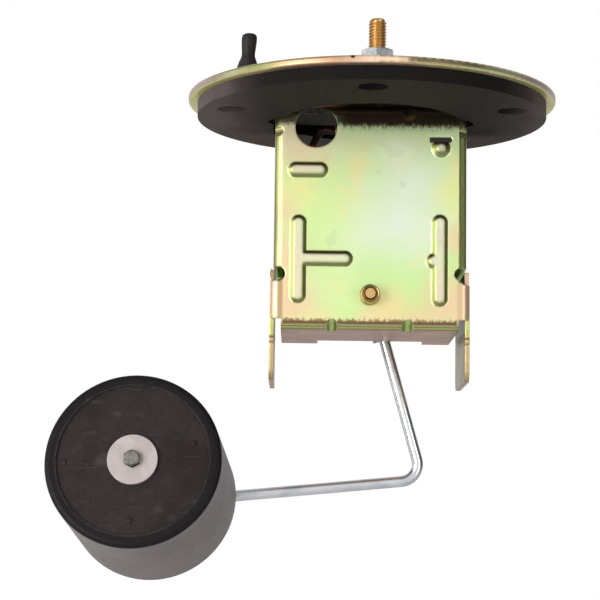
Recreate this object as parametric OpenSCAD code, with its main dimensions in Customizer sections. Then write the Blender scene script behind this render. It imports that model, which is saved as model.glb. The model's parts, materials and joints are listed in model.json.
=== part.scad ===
// Fuel level sender: a round cover plate carries a folded sheet bracket,
// a wire-wound resistor with its wiper, and a float on a bent wire arm.
// Origin: centre of the bolt circle on the underside of the gasket.
// +Z points out of the tank, the front plate of the bracket faces -Y.

/* [Mounting disc] */
// Diameter of the mounting disc
disc_d = 80; // [79:0.5:90]
// Thickness of the mounting disc
disc_t = 1.6; // [1.4:0.1:2.6]
// Rounding of the disc's edges
disc_edge_r = 0.5; // [0.2:0.1:0.6]
// Distance of the bolt holes' centres from the disc's edge
bolt_inset = 8.5; // [7:0.5:9]
// Number of bolt holes
bolt_count = 5; // [5]
// Diameter of a bolt hole through the disc and the gasket
bolt_hole_d = 6.4; // [4.3:0.1:6.6]
// Turn of the bolt circle against the bracket, in degrees
bolt_turn = -1.5; // [-4:0.5:2]

/* [Gasket] */
// Distance of the gasket's edge from the disc's edge
gasket_inset = 2; // [1:0.25:3]
// Thickness of the gasket
gasket_t = 3; // [2:0.1:3.4]
// Radius of the round opening in the gasket
gasket_open_r = 19.6; // [18.5:0.1:20.5]
// Radius of the reliefs beside the bracket
gasket_relief_r = 3.2; // [2.4:0.1:3.6]

/* [Bracket] */
// Thickness of the bracket's sheet
sheet_t = 1; // [0.8:0.05:1.2]
// Outer width of the bracket
plate_w = 42; // [41:0.5:43]
// Outer radius of the bracket's bends
bend_r = 2; // [1.6:0.1:2.4]
// Depth of the side walls
wall_depth = 28; // [27.5:0.25:29]
// Depth of the side walls at their top end
wall_top_depth = 15; // [13.5:0.5:17]
// Height below the gasket where the side walls reach full depth
wall_slope_z = 17; // [14:0.5:20]
// Height of the side walls below the gasket
wall_drop = 32.5; // [32:0.25:33]
// Distance of the bracket's underside below the gasket
bottom_drop = 46.2; // [45.8:0.1:47.5]
// Width of the bottom flange
bottom_w = 38.4; // [37:0.2:39]
// Depth of the rear recess in the bottom flange
recess_depth = 6.4; // [6.2:0.1:7]
// Width of the rear recess in the bottom flange
recess_w = 24; // [22:0.5:26]
// Step of the lower ears outside the side walls
ear_step = 0.7; // [0.5:0.05:0.9]
// Distance of the ears' lower edge below the gasket
ear_drop = 57; // [54:0.5:58]
// Height of the joint between ear and plate
ear_joint_h = 8.2; // [7.6:0.1:8.4]
// Diameter of the round window in the plate
window_d = 9.2; // [8:0.1:10]
// Distance of the window from the middle of the plate
window_x = 12; // [11:0.25:13]
// Distance of the window's centre below the gasket
window_z = 1.6; // [1:0.1:2.4]
// Width of a pressed bead
bead_w = 3.5; // [3:0.1:3.8]
// Width of the beads at their flat top
bead_top_w = 1.9; // [1.4:0.1:2.2]
// Height of a pressed bead
bead_h = 0.8; // [0.5:0.05:0.9]

/* [Pivot and bearings] */
// Distance of the pivot axis below the gasket
pivot_drop = 38.6; // [38.2:0.1:38.8]
// Diameter of the pivot shaft
shaft_d = 2.2; // [2:0.05:2.3]
// Radial clearance of the shaft in its bushes
shaft_gap = 0.05; // [0.02:0.01:0.09]
// Outer diameter of the bearing bushes
bush_d = 4.1; // [3.8:0.1:4.3]
// Length of the front bush outside the plate
bush_out = 3; // [2:0.1:3.4]
// Length of the shaft in front of its bush
shaft_out = 0.6; // [0.3:0.1:1]
// Radial clearance of fixed pins in their holes
seat_gap = 0.02; // [0.01:0.01:0.04]
// Distance of the bearing bridge's rear face from the plate's front
bridge_y = 20; // [19.6:0.1:20.2]
// Height of the bearing bridge
bridge_h = 10; // [9.4:0.1:10.4]
// Height of the bearing bridge's upper edge above the pivot axis
bridge_rise = 10.5; // [5:0.1:11.5]

/* [Float arm] */
// Diameter of the float wire
wire_d = 2.5; // [2.2:0.05:2.6]
// Distance of the wire's centre line from the plate's front
wire_y = 25.5; // [25.3:0.1:25.7]
// Sideways distance of the wire from the pivot axis
wire_offset = 2.2; // [2:0.05:2.4]
// Angle of the upper wire from straight down, in degrees
wire_angle = 15.7; // [14:0.1:17]
// Length of the upper wire from the pivot to the elbow
wire_leg = 40.8; // [39:0.2:42]
// Length of the wire above the pivot
wire_top = 9; // [7.5:0.1:9.6]
// Radius of the elbow at the wire's centre line
elbow_r = 4; // [3:0.25:5]
// Radius of the bend into the float
float_bend_r = 3; // [2.6:0.1:3.2]
// Fall of the lower wire from level, in degrees
reach_fall = 5.7; // [4:0.1:7]
// Length of the lower wire from the elbow to the float's axis
reach = 60.6; // [58:0.2:63]
// Fall of the float's axis towards the rear, in degrees
float_fall = 12.4; // [10:0.2:13]
// Turn of the float's axis towards the right, in degrees
float_turn = 3.9; // [3:0.2:6]
// Thickness of the arm's lever plate
lever_t = 1.25; // [1:0.05:1.3]

/* [Float] */
// Diameter of the float
float_d = 37.4; // [34:0.2:38]
// Length of the float
float_l = 33.6; // [30:0.2:36]
// Radial clearance of the float on its wire
float_gap = 0.08; // [0.04:0.01:0.1]
// Radius of the rounded edges of the float
float_edge_r = 1.2; // [0.6:0.1:1.6]
// Depth of the recess in the float's face
float_recess = 0.6; // [0.3:0.1:0.9]
// Diameter of the front washer
front_washer_d = 10.6; // [9:0.1:12]
// Thickness of the float's washers
float_washer_t = 0.8; // [0.6:0.05:0.9]
// Diameter of the peened wire end
peen_d = 3.8; // [3.4:0.1:4.2]
// Length of the peened wire end
peen_t = 1.3; // [1:0.1:1.6]

/* [Resistor and wiper] */
// Middle radius of the resistance winding about the pivot
winding_r = 16; // [15.6:0.1:16.4]
// Width of the winding along the pivot axis
winding_w = 7.6; // [7:0.1:7.8]
// Half of the angle that the winding covers, in degrees
winding_half = 36; // [34:0.5:37]
// Number of ribs that stand for the turns
winding_ribs = 42; // [30:1:46]
// Thickness of the former that carries the winding
former_t = 1.6; // [1.2:0.1:1.8]
// Thickness of the wire layer on the former
layer_t = 0.4; // [0.3:0.05:0.5]
// Thickness of the insulating board
board_t = 1.6; // [1.2:0.1:1.8]
// Distance of the carrier's rear face from the plate's front
carrier_y = 6.5; // [6.3:0.1:6.7]
// Thickness of the wiper leaf
leaf_t = 0.4; // [0.3:0.05:0.5]
// Height of the wiper's contact
contact_h = 0.5; // [0.4:0.05:0.6]
// Clearance between the contact and the winding
contact_gap = 0.06; // [0.03:0.01:0.1]
// Travel of the arm, in degrees
travel = 65; // [50:1:65]

/* [Terminal] */
// Sideways place of the terminal stud
stud_x = 1.5; // [1:0.1:2]
// Distance of the stud behind the plate's front
stud_y = 7.4; // [7.2:0.1:7.8]
// Diameter of the terminal stud
stud_d = 4; // [3.5:0.1:4.2]
// Distance of the stud's top above the gasket's underside
stud_top = 24.6; // [22:0.2:26]
// Width across the flats of a nut
nut_af = 7; // [6.6:0.1:7.4]
// Thickness of a nut
nut_t = 3.2; // [2.8:0.1:3.4]
// Radial clearance of nuts and washers round the stud
nut_gap = 0.03; // [0.02:0.01:0.1]
// Diameter of the insulators
insulator_d = 12; // [11:0.2:12.4]
// Thickness of the upper insulator above the disc
upper_insulator_t = 3.8; // [2.6:0.1:4.2]
// Thickness of the lower insulator below the flange
lower_insulator_t = 1.5; // [1.2:0.1:1.8]
// Diameter of the insulators' shoulder in the disc
shoulder_d = 7.4; // [7:0.1:7.8]
// Thickness of a plain washer
washer_t = 0.8; // [0.6:0.1:1]
// Thickness of the spring washer
spring_washer_t = 1.2; // [1:0.1:1.4]
// Diameter of the red lead
lead_d = 1.6; // [1.4:0.1:1.8]

/* [Earth post and boot] */
// Distance of the earth post from the disc's left edge
post_inset = 12.5; // [12:0.1:13.2]
// Distance of the earth post towards the rear
post_y = 8; // [7:0.2:9]
// Diameter of the earth post
post_d = 1.9; // [1.6:0.1:2]
// Height of the boot above the disc
boot_h = 16.5; // [15:0.1:17]
// Diameter of the boot's neck
boot_neck_d = 3.3; // [3.2:0.1:3.6]
// Diameter of the boot's base
boot_base_d = 8; // [7.6:0.1:9]

/* [Hidden] */
$fn = 64;

// Extra length of a cutting shape beyond the face that it opens
cut = 1;
// A bar swells by this much in diameter where it bends, and its straights run this far into the bend
bend_swell = 0.02;
bend_lap = 0.15;
bolt_pcd = disc_d - 2 * bolt_inset;
gasket_d = disc_d - 2 * gasket_inset;
post_x = disc_d / 2 - post_inset;
disc_z = gasket_t;
disc_top = disc_z + disc_t;
pivot_z = -pivot_drop;
half_w = plate_w / 2;
inner_w = half_w - sheet_t;
flange_low = disc_z - sheet_t;
bottom_z = -bottom_drop;
ear_x = half_w + ear_step;
ear_top_z = -wall_drop - 0.5;
ear_joint_top = -wall_drop - 3.1;
ear_joint_low = ear_joint_top - ear_joint_h;
bottom_depth = wall_depth + 1;

// Places of the stack on the stud, from the disc upwards and downwards
insulator_top = disc_top + upper_insulator_t;
stud_washer_z = insulator_top;
lock_nut_z = stud_washer_z + washer_t;
terminal_washer_z = lock_nut_z + nut_t;
spring_washer_z = terminal_washer_z + washer_t;
terminal_nut_z = spring_washer_z + spring_washer_t;
lower_insulator_z = flange_low - lower_insulator_t;
eyelet_t = 0.6;
eyelet_z = lower_insulator_z - eyelet_t;
inner_washer_z = eyelet_z - washer_t;
inner_nut_z = inner_washer_z - nut_t;
stud_low = inner_nut_z - 1.2;
stud_bore_d = stud_d + 2 * nut_gap;

// Places along the pivot axis, measured from the plate's front face
bush_flange_t = 1.2;
bush_flange_d = 5.2;
carrier_front = carrier_y - sheet_t;
board_y = carrier_y + board_t;
winding_y = board_y + 0.3;
winding_rear = winding_y + winding_w;
leaf_y = winding_rear + contact_gap + contact_h;
hub_l = 3.4;
hub_d = 8;
lever_rear = wire_y - wire_d / 2 - 0.08;
lever_front = lever_rear - lever_t;
rear_bush_out = 0.6;
collar_y = bridge_y + rear_bush_out + 0.15;
collar_d = 5.6;

// Points of the arm's wire, on the plane of the wire
up_dir = [sin(wire_angle), -cos(wire_angle)];
side_dir = [cos(wire_angle), sin(wire_angle)];
wire_foot = [0, pivot_z] + wire_offset * side_dir;
wire_start = wire_foot - wire_top * up_dir;
wire_elbow = wire_foot + wire_leg * up_dir;
reach_dir = [-cos(reach_fall), -sin(reach_fall)];
float_corner = wire_elbow + reach * reach_dir;

// Direction of the float's axis, towards the front face
float_dir = [-sin(float_turn) * cos(float_fall), -cos(float_turn) * cos(float_fall), sin(float_fall)];
corner3 = [float_corner[0], wire_y, float_corner[1]];
reach3 = [reach_dir[0], 0, reach_dir[1]];
float_bend_turn = acos(reach3 * float_dir);
float_bend_tangent = float_bend_r * tan(float_bend_turn / 2);
rear_gap = 0.25;
rear_washer_s = float_bend_tangent + rear_gap;
float_s = rear_washer_s + float_washer_t + 0.05;
front_washer_s = float_s + float_l - float_recess + 0.05;
peen_s = front_washer_s + float_washer_t;
float_bore_d = wire_d + 2 * float_gap;
washer_bore_d = wire_d + 2 * seat_gap;

function unit(v) = v / norm(v);

// Turns and moves a shape so that its own +Z lies along a direction from a point
module along(p, d) {
    translate(p)
        rotate([0, acos(unit(d)[2]), atan2(d[1], d[0])])
            children();
}

// Straight round bar from one point to another
module bar(p, q, d) {
    along(p, q - p) cylinder(h = norm(q - p), d = d);
}

// Lays a flat shape into the XZ plane and thickens it from y0 to y1
module upright(y0, y1) {
    translate([0, y1, 0]) rotate([90, 0, 0]) linear_extrude(y1 - y0) children();
}

// Round bore or pin along Y
module cross_pin(x, z, y0, y1, d) {
    translate([x, y0, z]) rotate([-90, 0, 0]) cylinder(h = y1 - y0, d = d);
}

// Flat ring on the XY plane
module ring(od, bore, h) {
    difference() {
        cylinder(h = h, d = od);
        translate([0, 0, -cut]) cylinder(h = h + 2 * cut, d = bore);
    }
}

// Places a shape on the stud's axis at a height
module on_stud(z) {
    translate([stud_x, stud_y, z]) children();
}

// Places its children at every bolt hole
module at_bolts() {
    for (i = [0:bolt_count - 1])
        rotate(-90 + bolt_turn + i * 360 / bolt_count)
            translate([bolt_pcd / 2, 0, 0]) children();
}

// Hexagon nut with chamfered corners
module hex_nut(bore) {
    corner_r = nut_af / sqrt(3);
    chamfer = 0.45;
    difference() {
        intersection() {
            rotate(30) cylinder(h = nut_t, r = corner_r, $fn = 6);
            union() {
                cylinder(h = chamfer, r1 = corner_r - 2 * chamfer, r2 = corner_r);
                translate([0, 0, chamfer]) cylinder(h = nut_t - 2 * chamfer, r = corner_r + 0.1);
                translate([0, 0, nut_t - chamfer])
                    cylinder(h = chamfer, r1 = corner_r, r2 = corner_r - 2 * chamfer);
            }
        }
        translate([0, 0, -cut]) cylinder(h = nut_t + 2 * cut, d = bore);
    }
}

module mounting_disc() {
    color([0.62, 0.60, 0.38])
    difference() {
        translate([0, 0, disc_z]) rotate_extrude($fn = 128) {
            square([disc_d / 2 - disc_edge_r, disc_t]);
            translate([0, disc_edge_r]) square([disc_d / 2, disc_t - 2 * disc_edge_r]);
            translate([disc_d / 2 - disc_edge_r, disc_edge_r]) circle(disc_edge_r, $fn = 32);
            translate([disc_d / 2 - disc_edge_r, disc_t - disc_edge_r]) circle(disc_edge_r, $fn = 32);
        }
        translate([0, 0, disc_z - cut]) at_bolts() cylinder(h = disc_t + 2 * cut, d = bolt_hole_d);
        on_stud(disc_z - cut) cylinder(h = disc_t + 2 * cut, d = shoulder_d + 2 * nut_gap);
        translate([-post_x, post_y, disc_z - cut])
            cylinder(h = disc_t + 2 * cut, d = post_foot_d + 2 * seat_gap);
    }
}

// The gasket's opening is centred this far behind the plate
gasket_open_y = 3;

// Outline of the gasket's opening round the bracket
module gasket_opening() {
    side = half_w + 0.5;
    translate([0, gasket_open_y]) circle(gasket_open_r, $fn = 96);
    translate([-side, -0.6]) square([2 * side, wall_top_depth + 1.6]);
    for (s = [-1, 1]) translate([s * (side - 2), gasket_open_y]) circle(gasket_relief_r, $fn = 32);
}

module gasket() {
    color([0.13, 0.12, 0.12])
    difference() {
        cylinder(h = gasket_t, d = gasket_d, $fn = 128);
        translate([0, 0, -cut]) at_bolts() cylinder(h = gasket_t + 2 * cut, d = bolt_hole_d);
        translate([0, 0, -cut]) linear_extrude(gasket_t + 2 * cut) gasket_opening();
    }
}

bead_slope = (bead_w - bead_top_w) / 2 / bead_h;
bead_wall = 0.3;

// Trapezoid ridge from a to b on the plate: half-widths at its foot and its top, and their depths along Y
module ridge(a, b, foot, top, y_foot, y_top) {
    end_swell = 0.03;
    turn = atan2(b[1] - a[1], b[0] - a[0]);
    for (p = [a, b]) translate([p[0], y_foot, p[1]]) rotate([90, 0, 0])
        cylinder(h = y_foot - y_top, r1 = foot + end_swell, r2 = top + end_swell);
    translate([a[0], 0, a[1]]) rotate([0, -turn, 0]) rotate([90, 0, 90]) linear_extrude(norm(b - a))
        polygon([[y_foot, -foot], [y_foot, foot], [y_top, top], [y_top, -top]]);
}

// A bead as it stands out in front, or the hollow that the press leaves behind it
module bead(a, b, hollow) {
    top = bead_top_w / 2;
    sunk = 0.5;
    if (hollow)
        ridge(a, b, top - bead_wall + (bead_h + cut) * bead_slope, top - bead_wall, sheet_t + cut, sheet_t - bead_h);
    else ridge(a, b, top + (bead_h + sunk) * bead_slope, top, sunk, -bead_h);
}

// All beads of the plate
module beads(hollow) {
    bead([-16.3, -11.2], [-11.1, -11.2], hollow);
    bead([-15.6, -22.9], [-15.6, -38.8], hollow);
    bead([-15.6, -30.7], [-5.5, -30.7], hollow);
    bead([15.1, -22.5], [15.1, -39.2], hollow);
    bead([15.1, -31], [13.9, -31], hollow);
}

spot_x = 15.3;
spot_z = -6.05;

// Raised spot under the lanced slot, a cone with a flat round top, or the hollow behind it
module spot(hollow) {
    spot_top_r = 0.85;
    spot_h = 0.95;
    spot_slope = 1.3;
    sunk = 0.4;
    y_foot = hollow ? sheet_t + cut : sunk;
    y_top = hollow ? sheet_t - spot_h : -spot_h;
    top = hollow ? 0.3 : spot_top_r;
    translate([spot_x, y_foot, spot_z]) rotate([90, 0, 0])
        cylinder(h = y_foot - y_top, r1 = top + (y_foot - y_top) * spot_slope, r2 = top);
}

// Half-ring shape of a bend seen along its axis, from the outside radius to the inside radius
module bend_section(r_out, r_in) {
    difference() {
        circle(r_out, $fn = 48);
        circle(r_in, $fn = 48);
    }
}

// Section of the plate with its two side walls, seen from above
module wall_section(depth) {
    bend_in = bend_r - sheet_t;
    translate([-half_w + bend_r, 0]) square([plate_w - 2 * bend_r, sheet_t]);
    for (s = [-1, 1]) {
        translate([s * (half_w - sheet_t / 2) - sheet_t / 2, bend_r]) square([sheet_t, depth - bend_r]);
        intersection() {
            translate([s * (half_w - bend_r), bend_r]) bend_section(bend_r, bend_in);
            translate([s * (half_w - bend_r / 2) - bend_r / 2, 0]) square([bend_r, bend_r]);
        }
    }
}

// Section of an ear with its joint to the plate, seen from above, on the right side
module ear_section() {
    bend_in = bend_r - sheet_t;
    translate([bottom_w / 2 - 2, 0]) square([ear_x - bend_r - bottom_w / 2 + 2, sheet_t]);
    translate([ear_x - sheet_t, bend_r]) square([sheet_t, wall_depth - bend_r]);
    intersection() {
        translate([ear_x - bend_r, bend_r]) bend_section(bend_r, bend_in);
        translate([ear_x - bend_r, 0]) square([bend_r, bend_r]);
    }
}

ear_front = 1.2;
ear_pip_z = -48.3;

// Outline of an ear seen from the side, with rounded lower corners
module ear_side() {
    low = -ear_drop;
    corner = 2.5;
    translate([ear_front, low + corner]) square([wall_depth - ear_front, ear_top_z - low - corner]);
    translate([ear_front + corner, low]) square([wall_depth - ear_front - 2 * corner, corner + 1]);
    translate([ear_front + corner, low + corner]) circle(corner);
    translate([wall_depth - corner, low + corner]) circle(corner);
}

module ear(s) {
    mirror([s < 0 ? 1 : 0, 0, 0]) {
        translate([0, 0, ear_joint_low]) linear_extrude(ear_joint_h) ear_section();
        translate([ear_x - sheet_t, 0, 0]) rotate([90, 0, 90]) linear_extrude(sheet_t) {
            ear_side();
            // small locating pip on the front edge
            translate([ear_front + 0.1, ear_pip_z]) circle(0.75);
        }
    }
}

// Section of a flange with its bend at the front, seen from the side; the flange lies on z = 0
module flange_section(depth) {
    translate([bend_r, 0]) square([depth - bend_r, sheet_t]);
    intersection() {
        translate([bend_r, bend_r]) bend_section(bend_r, bend_r - sheet_t);
        square([bend_r, bend_r]);
    }
}

module flange(depth, width) {
    translate([-width / 2, 0, 0]) rotate([90, 0, 90]) linear_extrude(width) flange_section(depth);
}

// Pressed rib that stiffens a bend: a bar that crosses the corner at 45 degrees
module corner_rib(x, y, z, dy, dz, d) {
    l = 9;
    translate([x, y, z]) along([0, -l / 2 * dy, -l / 2 * dz], [0, dy, dz]) cylinder(h = l, d = d);
}

module bracket() {
    flange_in = 1.2;
    top_w = 2 * (inner_w - flange_in);
    rib_in = 1.3;
    rib_x = 8.2;
    rib_d = 3.1;
    color([0.72, 0.73, 0.45])
    difference() {
        union() {
            difference() {
                translate([0, 0, -wall_drop]) linear_extrude(wall_drop + flange_low - 1)
                    wall_section(wall_depth);
                // rear edges of the side walls slope back towards the top
                rotate([90, 0, 90]) translate([0, 0, -half_w - cut]) linear_extrude(plate_w + 2 * cut)
                    polygon([[wall_depth + cut, -wall_slope_z], [wall_depth, -wall_slope_z],
                        [wall_top_depth, -2], [wall_top_depth, disc_z], [wall_depth + cut, disc_z]]);
            }
            // plate between the walls' lower ends and the bottom bend
            upright(0, sheet_t) {
                translate([-bottom_w / 2, bottom_z + bend_r])
                    square([bottom_w, -bottom_z - bend_r - wall_drop + 1]);
                translate([-top_w / 2, -3]) square([top_w, 3 + disc_z - bend_r]);
            }
            translate([0, 0, bottom_z]) flange(bottom_depth, bottom_w);
            translate([0, 0, disc_z]) mirror([0, 0, 1]) flange(wall_top_depth, top_w);
            for (s = [-1, 1]) ear(s);
            beads(false);
            spot(false);
            // inner side of the ribs across the bends
            intersection() {
                union() {
                    for (x = [-rib_x, rib_x]) corner_rib(x, rib_in, bottom_z + rib_in, 1, -1, rib_d - 0.2);
                    corner_rib(rib_x, rib_in, disc_z - rib_in, 1, 1, rib_d - 0.2);
                }
                translate([-half_w, 0.4, bottom_z + 0.4]) cube([plate_w, 6, bottom_drop + disc_z - 0.8]);
            }
        }
        beads(true);
        spot(true);
        // lanced slot that cuts off the spot's upper side
        upright(-2, sheet_t + cut) translate([spot_x - 2.5, spot_z + 1.3]) square([4.3, 1.3]);
        upright(-2, sheet_t + cut) translate([spot_x + 1.75, spot_z + 1.95]) circle(0.65);
        // dents of the ribs on the outside of the bends
        for (x = [-rib_x, rib_x]) corner_rib(x, 0.1, bottom_z + 0.1, 1, -1, rib_d);
        corner_rib(rib_x, 0.1, disc_z - 0.1, 1, 1, rib_d);
        for (s = [-1, 1]) along([s * half_w, 0, -2.6], [s, 1, 0])
            translate([0, 0, -3]) cylinder(h = 6, d = 2.6);
        cross_pin(-window_x, -window_z, -cut, 3.6, window_d);
        cross_pin(0, pivot_z, -cut, sheet_t + cut, bush_d + 2 * seat_gap);
        on_stud(flange_low - cut) cylinder(h = sheet_t + 2 * cut, d = shoulder_d + 2 * nut_gap);
        // rear recess of the bottom flange, where the wire passes
        translate([1 - recess_w / 2, bottom_depth - recess_depth, bottom_z - cut])
            cube([recess_w, recess_depth + cut, sheet_t + 2 * cut]);
        // relief notches beside the bends, a round one on the left and a three-sided one on the right
        translate([1 - half_w, -cut, -wall_drop - 1.6]) rotate([-90, 0, 0])
            cylinder(h = bend_r + 2 * cut, d = 3.2);
        upright(-cut, bend_r + cut) translate([half_w, -wall_drop])
            polygon([[-1.9, 0], [1, 0], [1, -3.7], [-0.7, -3.5], [-2.3, -2.4], [-2.8, -1.5], [-2.6, -0.6]]);
    }
}

module pivot_bush() {
    color([0.78, 0.62, 0.30])
    difference() {
        union() {
            cross_pin(0, pivot_z, -bush_out, sheet_t, bush_d);
            cross_pin(0, pivot_z, sheet_t, sheet_t + bush_flange_t, bush_flange_d + 1);
        }
        cross_pin(0, pivot_z, -bush_out - cut, sheet_t + bush_flange_t + cut, shaft_d + 2 * shaft_gap);
    }
}

// Outline of the bridge's web, seen from the front
module bridge_web() {
    low = pivot_z - bridge_h / 2;
    translate([-inner_w + bend_r, pivot_z - 2.7]) square([2 * (inner_w - bend_r), bridge_rise + 2.7]);
    translate([-5, low + 1]) square([10, bridge_h - 2]);
    translate([-3.5, low]) square([7, bridge_h]);
}

module bearing_bridge() {
    lug_l = 8;
    lug_h = bridge_h / 2 + 2.7;
    stop_w = 4;
    web_low = pivot_z - 2.7;
    color([0.70, 0.70, 0.48])
    difference() {
        union() {
            upright(bridge_y - sheet_t, bridge_y) bridge_web();
            // lugs folded forward along the side walls
            for (s = [-1, 1]) mirror([s < 0 ? 1 : 0, 0, 0]) translate([0, 0, web_low]) {
                translate([inner_w - sheet_t, bridge_y - lug_l, 0])
                    cube([sheet_t, lug_l - bend_r, lug_h]);
                linear_extrude(bridge_rise + 2.7) intersection() {
                    translate([inner_w - bend_r, bridge_y - bend_r]) bend_section(bend_r, bend_r - sheet_t);
                    translate([inner_w - bend_r, bridge_y - bend_r]) square([bend_r, bend_r]);
                }
            }
            // tab folded to the rear, which stops the lever when the tank is empty
            translate([-9.5, bridge_y - sheet_t, web_low])
                cube([stop_w, lever_rear - bridge_y + sheet_t, sheet_t]);
        }
        cross_pin(0, pivot_z, bridge_y - sheet_t - cut, bridge_y + cut, bush_d + 2 * seat_gap);
    }
}

module rear_bush() {
    color([0.78, 0.62, 0.30])
    difference() {
        union() {
            cross_pin(0, pivot_z, bridge_y - sheet_t, bridge_y + rear_bush_out, bush_d);
            cross_pin(0, pivot_z, bridge_y - sheet_t - 0.8, bridge_y - sheet_t, bush_flange_d);
        }
        cross_pin(0, pivot_z, bridge_y - 3, bridge_y + rear_bush_out + cut, shaft_d + 2 * shaft_gap);
    }
}

carrier_low = -31;
carrier_top = -14.5;
rivet_x = 15.4;
rivet_z = -19.2;
rivet_d = 2.4;

module resistor_carrier() {
    lug_l = 7;
    color([0.70, 0.70, 0.48])
    difference() {
        union() {
            upright(carrier_front, carrier_y) {
                translate([-inner_w + bend_r, carrier_low])
                    square([2 * (inner_w - bend_r), carrier_top - carrier_low]);
            }
            for (s = [-1, 1]) mirror([s < 0 ? 1 : 0, 0, 0])
                translate([0, 0, carrier_low]) linear_extrude(carrier_top - carrier_low) {
                    translate([inner_w - sheet_t, carrier_front + bend_r]) square([sheet_t, lug_l]);
                    intersection() {
                        translate([inner_w - bend_r, carrier_front + bend_r])
                            bend_section(bend_r, bend_r - sheet_t);
                        translate([inner_w - bend_r, carrier_front]) square([bend_r, bend_r]);
                    }
                }
        }
        cross_pin(0, pivot_z, carrier_front - cut, carrier_y + cut, 2 * (winding_r - 4));
        for (s = [-1, 1]) cross_pin(s * rivet_x, rivet_z, carrier_front - cut, carrier_y + cut,
            rivet_d + 2 * seat_gap);
    }
}

// Ring sector about the pivot, in the plane of the winding
module fan(r_in, r_out, half) {
    n = 16;
    outer = [for (i = [0:n]) let (a = 90 + half - 2 * half * i / n) [r_out * cos(a), r_out * sin(a)]];
    inner = [for (i = [0:n]) let (a = 90 - half + 2 * half * i / n) [r_in * cos(a), r_in * sin(a)]];
    polygon(concat(outer, inner));
}

board_r_out = 24.5;

module resistor_board() {
    color([0.42, 0.24, 0.14])
    difference() {
        upright(carrier_y, board_y) intersection() {
            translate([0, pivot_z]) difference() {
                circle(board_r_out, $fn = 96);
                circle(winding_r - 3.6, $fn = 96);
            }
            translate([-inner_w + 1.6, carrier_low + 0.6]) square([2 * inner_w - 3.2, 30]);
        }
        for (s = [-1, 1]) {
            cross_pin(s * rivet_x, rivet_z, carrier_y - cut, board_y + cut, rivet_d + 2 * seat_gap);
            cross_pin(s * terminal_x, terminal_z, carrier_y - cut, board_y + cut, terminal_d + 2 * seat_gap);
        }
    }
}

module board_rivets() {
    head_d = 4.2;
    head_t = 0.7;
    color([0.75, 0.75, 0.72])
    for (s = [-1, 1]) {
        cross_pin(s * rivet_x, rivet_z, carrier_front - head_t, carrier_front, head_d);
        cross_pin(s * rivet_x, rivet_z, carrier_front, board_y, rivet_d);
        cross_pin(s * rivet_x, rivet_z, board_y, board_y + head_t, head_d);
    }
}

former_in = winding_r - former_t / 2;
former_out = winding_r + former_t / 2;
foot_half = winding_half + 5;

// Place of the winding's end terminals on the board
terminal_r = 19.8;
terminal_half = 39;
terminal_x = terminal_r * sin(terminal_half);
terminal_z = pivot_z + terminal_r * cos(terminal_half);
terminal_d = 2;

module winding_former() {
    color([0.30, 0.17, 0.11])
    translate([0, 0, pivot_z]) {
        upright(winding_y + layer_t, winding_rear - layer_t) fan(former_in, former_out, winding_half + 1);
        // feet at both ends stand on the board
        upright(board_y, winding_rear - layer_t) difference() {
            fan(former_in, former_out, foot_half);
            fan(former_in - 1, former_out + 1, winding_half + 1);
        }
    }
}

// Outline of the wound band: each turn is a shallow rib inside and outside
module wound_outline() {
    n = winding_ribs * 2;
    low = layer_t - 0.16;
    function ripple(i) = i % 2 == 0 ? low : layer_t;
    outer = [for (i = [0:n]) let (a = 90 + winding_half - 2 * winding_half * i / n,
        r = former_out + ripple(i))
        [r * cos(a), r * sin(a)]];
    inner = [for (i = [0:n]) let (a = 90 - winding_half + 2 * winding_half * i / n, r = former_in - ripple(i))
        [r * cos(a), r * sin(a)]];
    polygon(concat(outer, inner));
}

module resistance_winding() {
    groove = 0.16;
    step = 2 * winding_half / winding_ribs;
    color([0.66, 0.50, 0.36])
    translate([0, 0, pivot_z])
    difference() {
        upright(winding_y, winding_rear) wound_outline();
        upright(winding_y + layer_t, winding_rear - layer_t) fan(former_in, former_out, winding_half + 1);
        // grooves between the turns on the side where the contact slides
        for (i = [0:winding_ribs]) rotate([0, -winding_half + i * step, 0])
            translate([0, winding_rear, former_in - 1])
                rotate([0, 0, 45]) translate([-groove / 2, -groove / 2, 0])
                    cube([groove, groove, former_t + 2]);
    }
}

terminal_head_d = 3.6;

module winding_terminals() {
    color([0.80, 0.66, 0.34])
    for (s = [-1, 1]) {
        cross_pin(s * terminal_x, terminal_z, carrier_y + 0.1, board_y, terminal_d);
        cross_pin(s * terminal_x, terminal_z, board_y, board_y + 0.6, terminal_head_d);
        cross_pin(s * terminal_x, terminal_z, board_y + 0.6, board_y + 1.1, 1.4);
    }
}

module terminal_stud() {
    tip = 0.5;
    color([0.82, 0.63, 0.28])
    on_stud(0) {
        translate([0, 0, stud_low]) cylinder(h = tip, d1 = stud_d - 2 * tip, d2 = stud_d);
        translate([0, 0, stud_low + tip]) cylinder(h = stud_top - stud_low - 2 * tip, d = stud_d);
        translate([0, 0, stud_top - tip]) cylinder(h = tip, d1 = stud_d, d2 = stud_d - 2 * tip);
    }
}

module upper_insulator() {
    color([0.16, 0.14, 0.13])
    on_stud(0) difference() {
        union() {
            translate([0, 0, disc_top]) cylinder(h = upper_insulator_t - 0.8, d = insulator_d + 1);
            translate([0, 0, insulator_top - 0.8])
                cylinder(h = 0.8, d1 = insulator_d + 1, d2 = insulator_d - 0.6);
            translate([0, 0, disc_top - disc_t / 2 + 0.05]) cylinder(h = disc_t / 2, d = shoulder_d);
        }
        translate([0, 0, disc_z]) cylinder(h = upper_insulator_t + disc_t + cut, d = stud_bore_d);
    }
}

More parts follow.
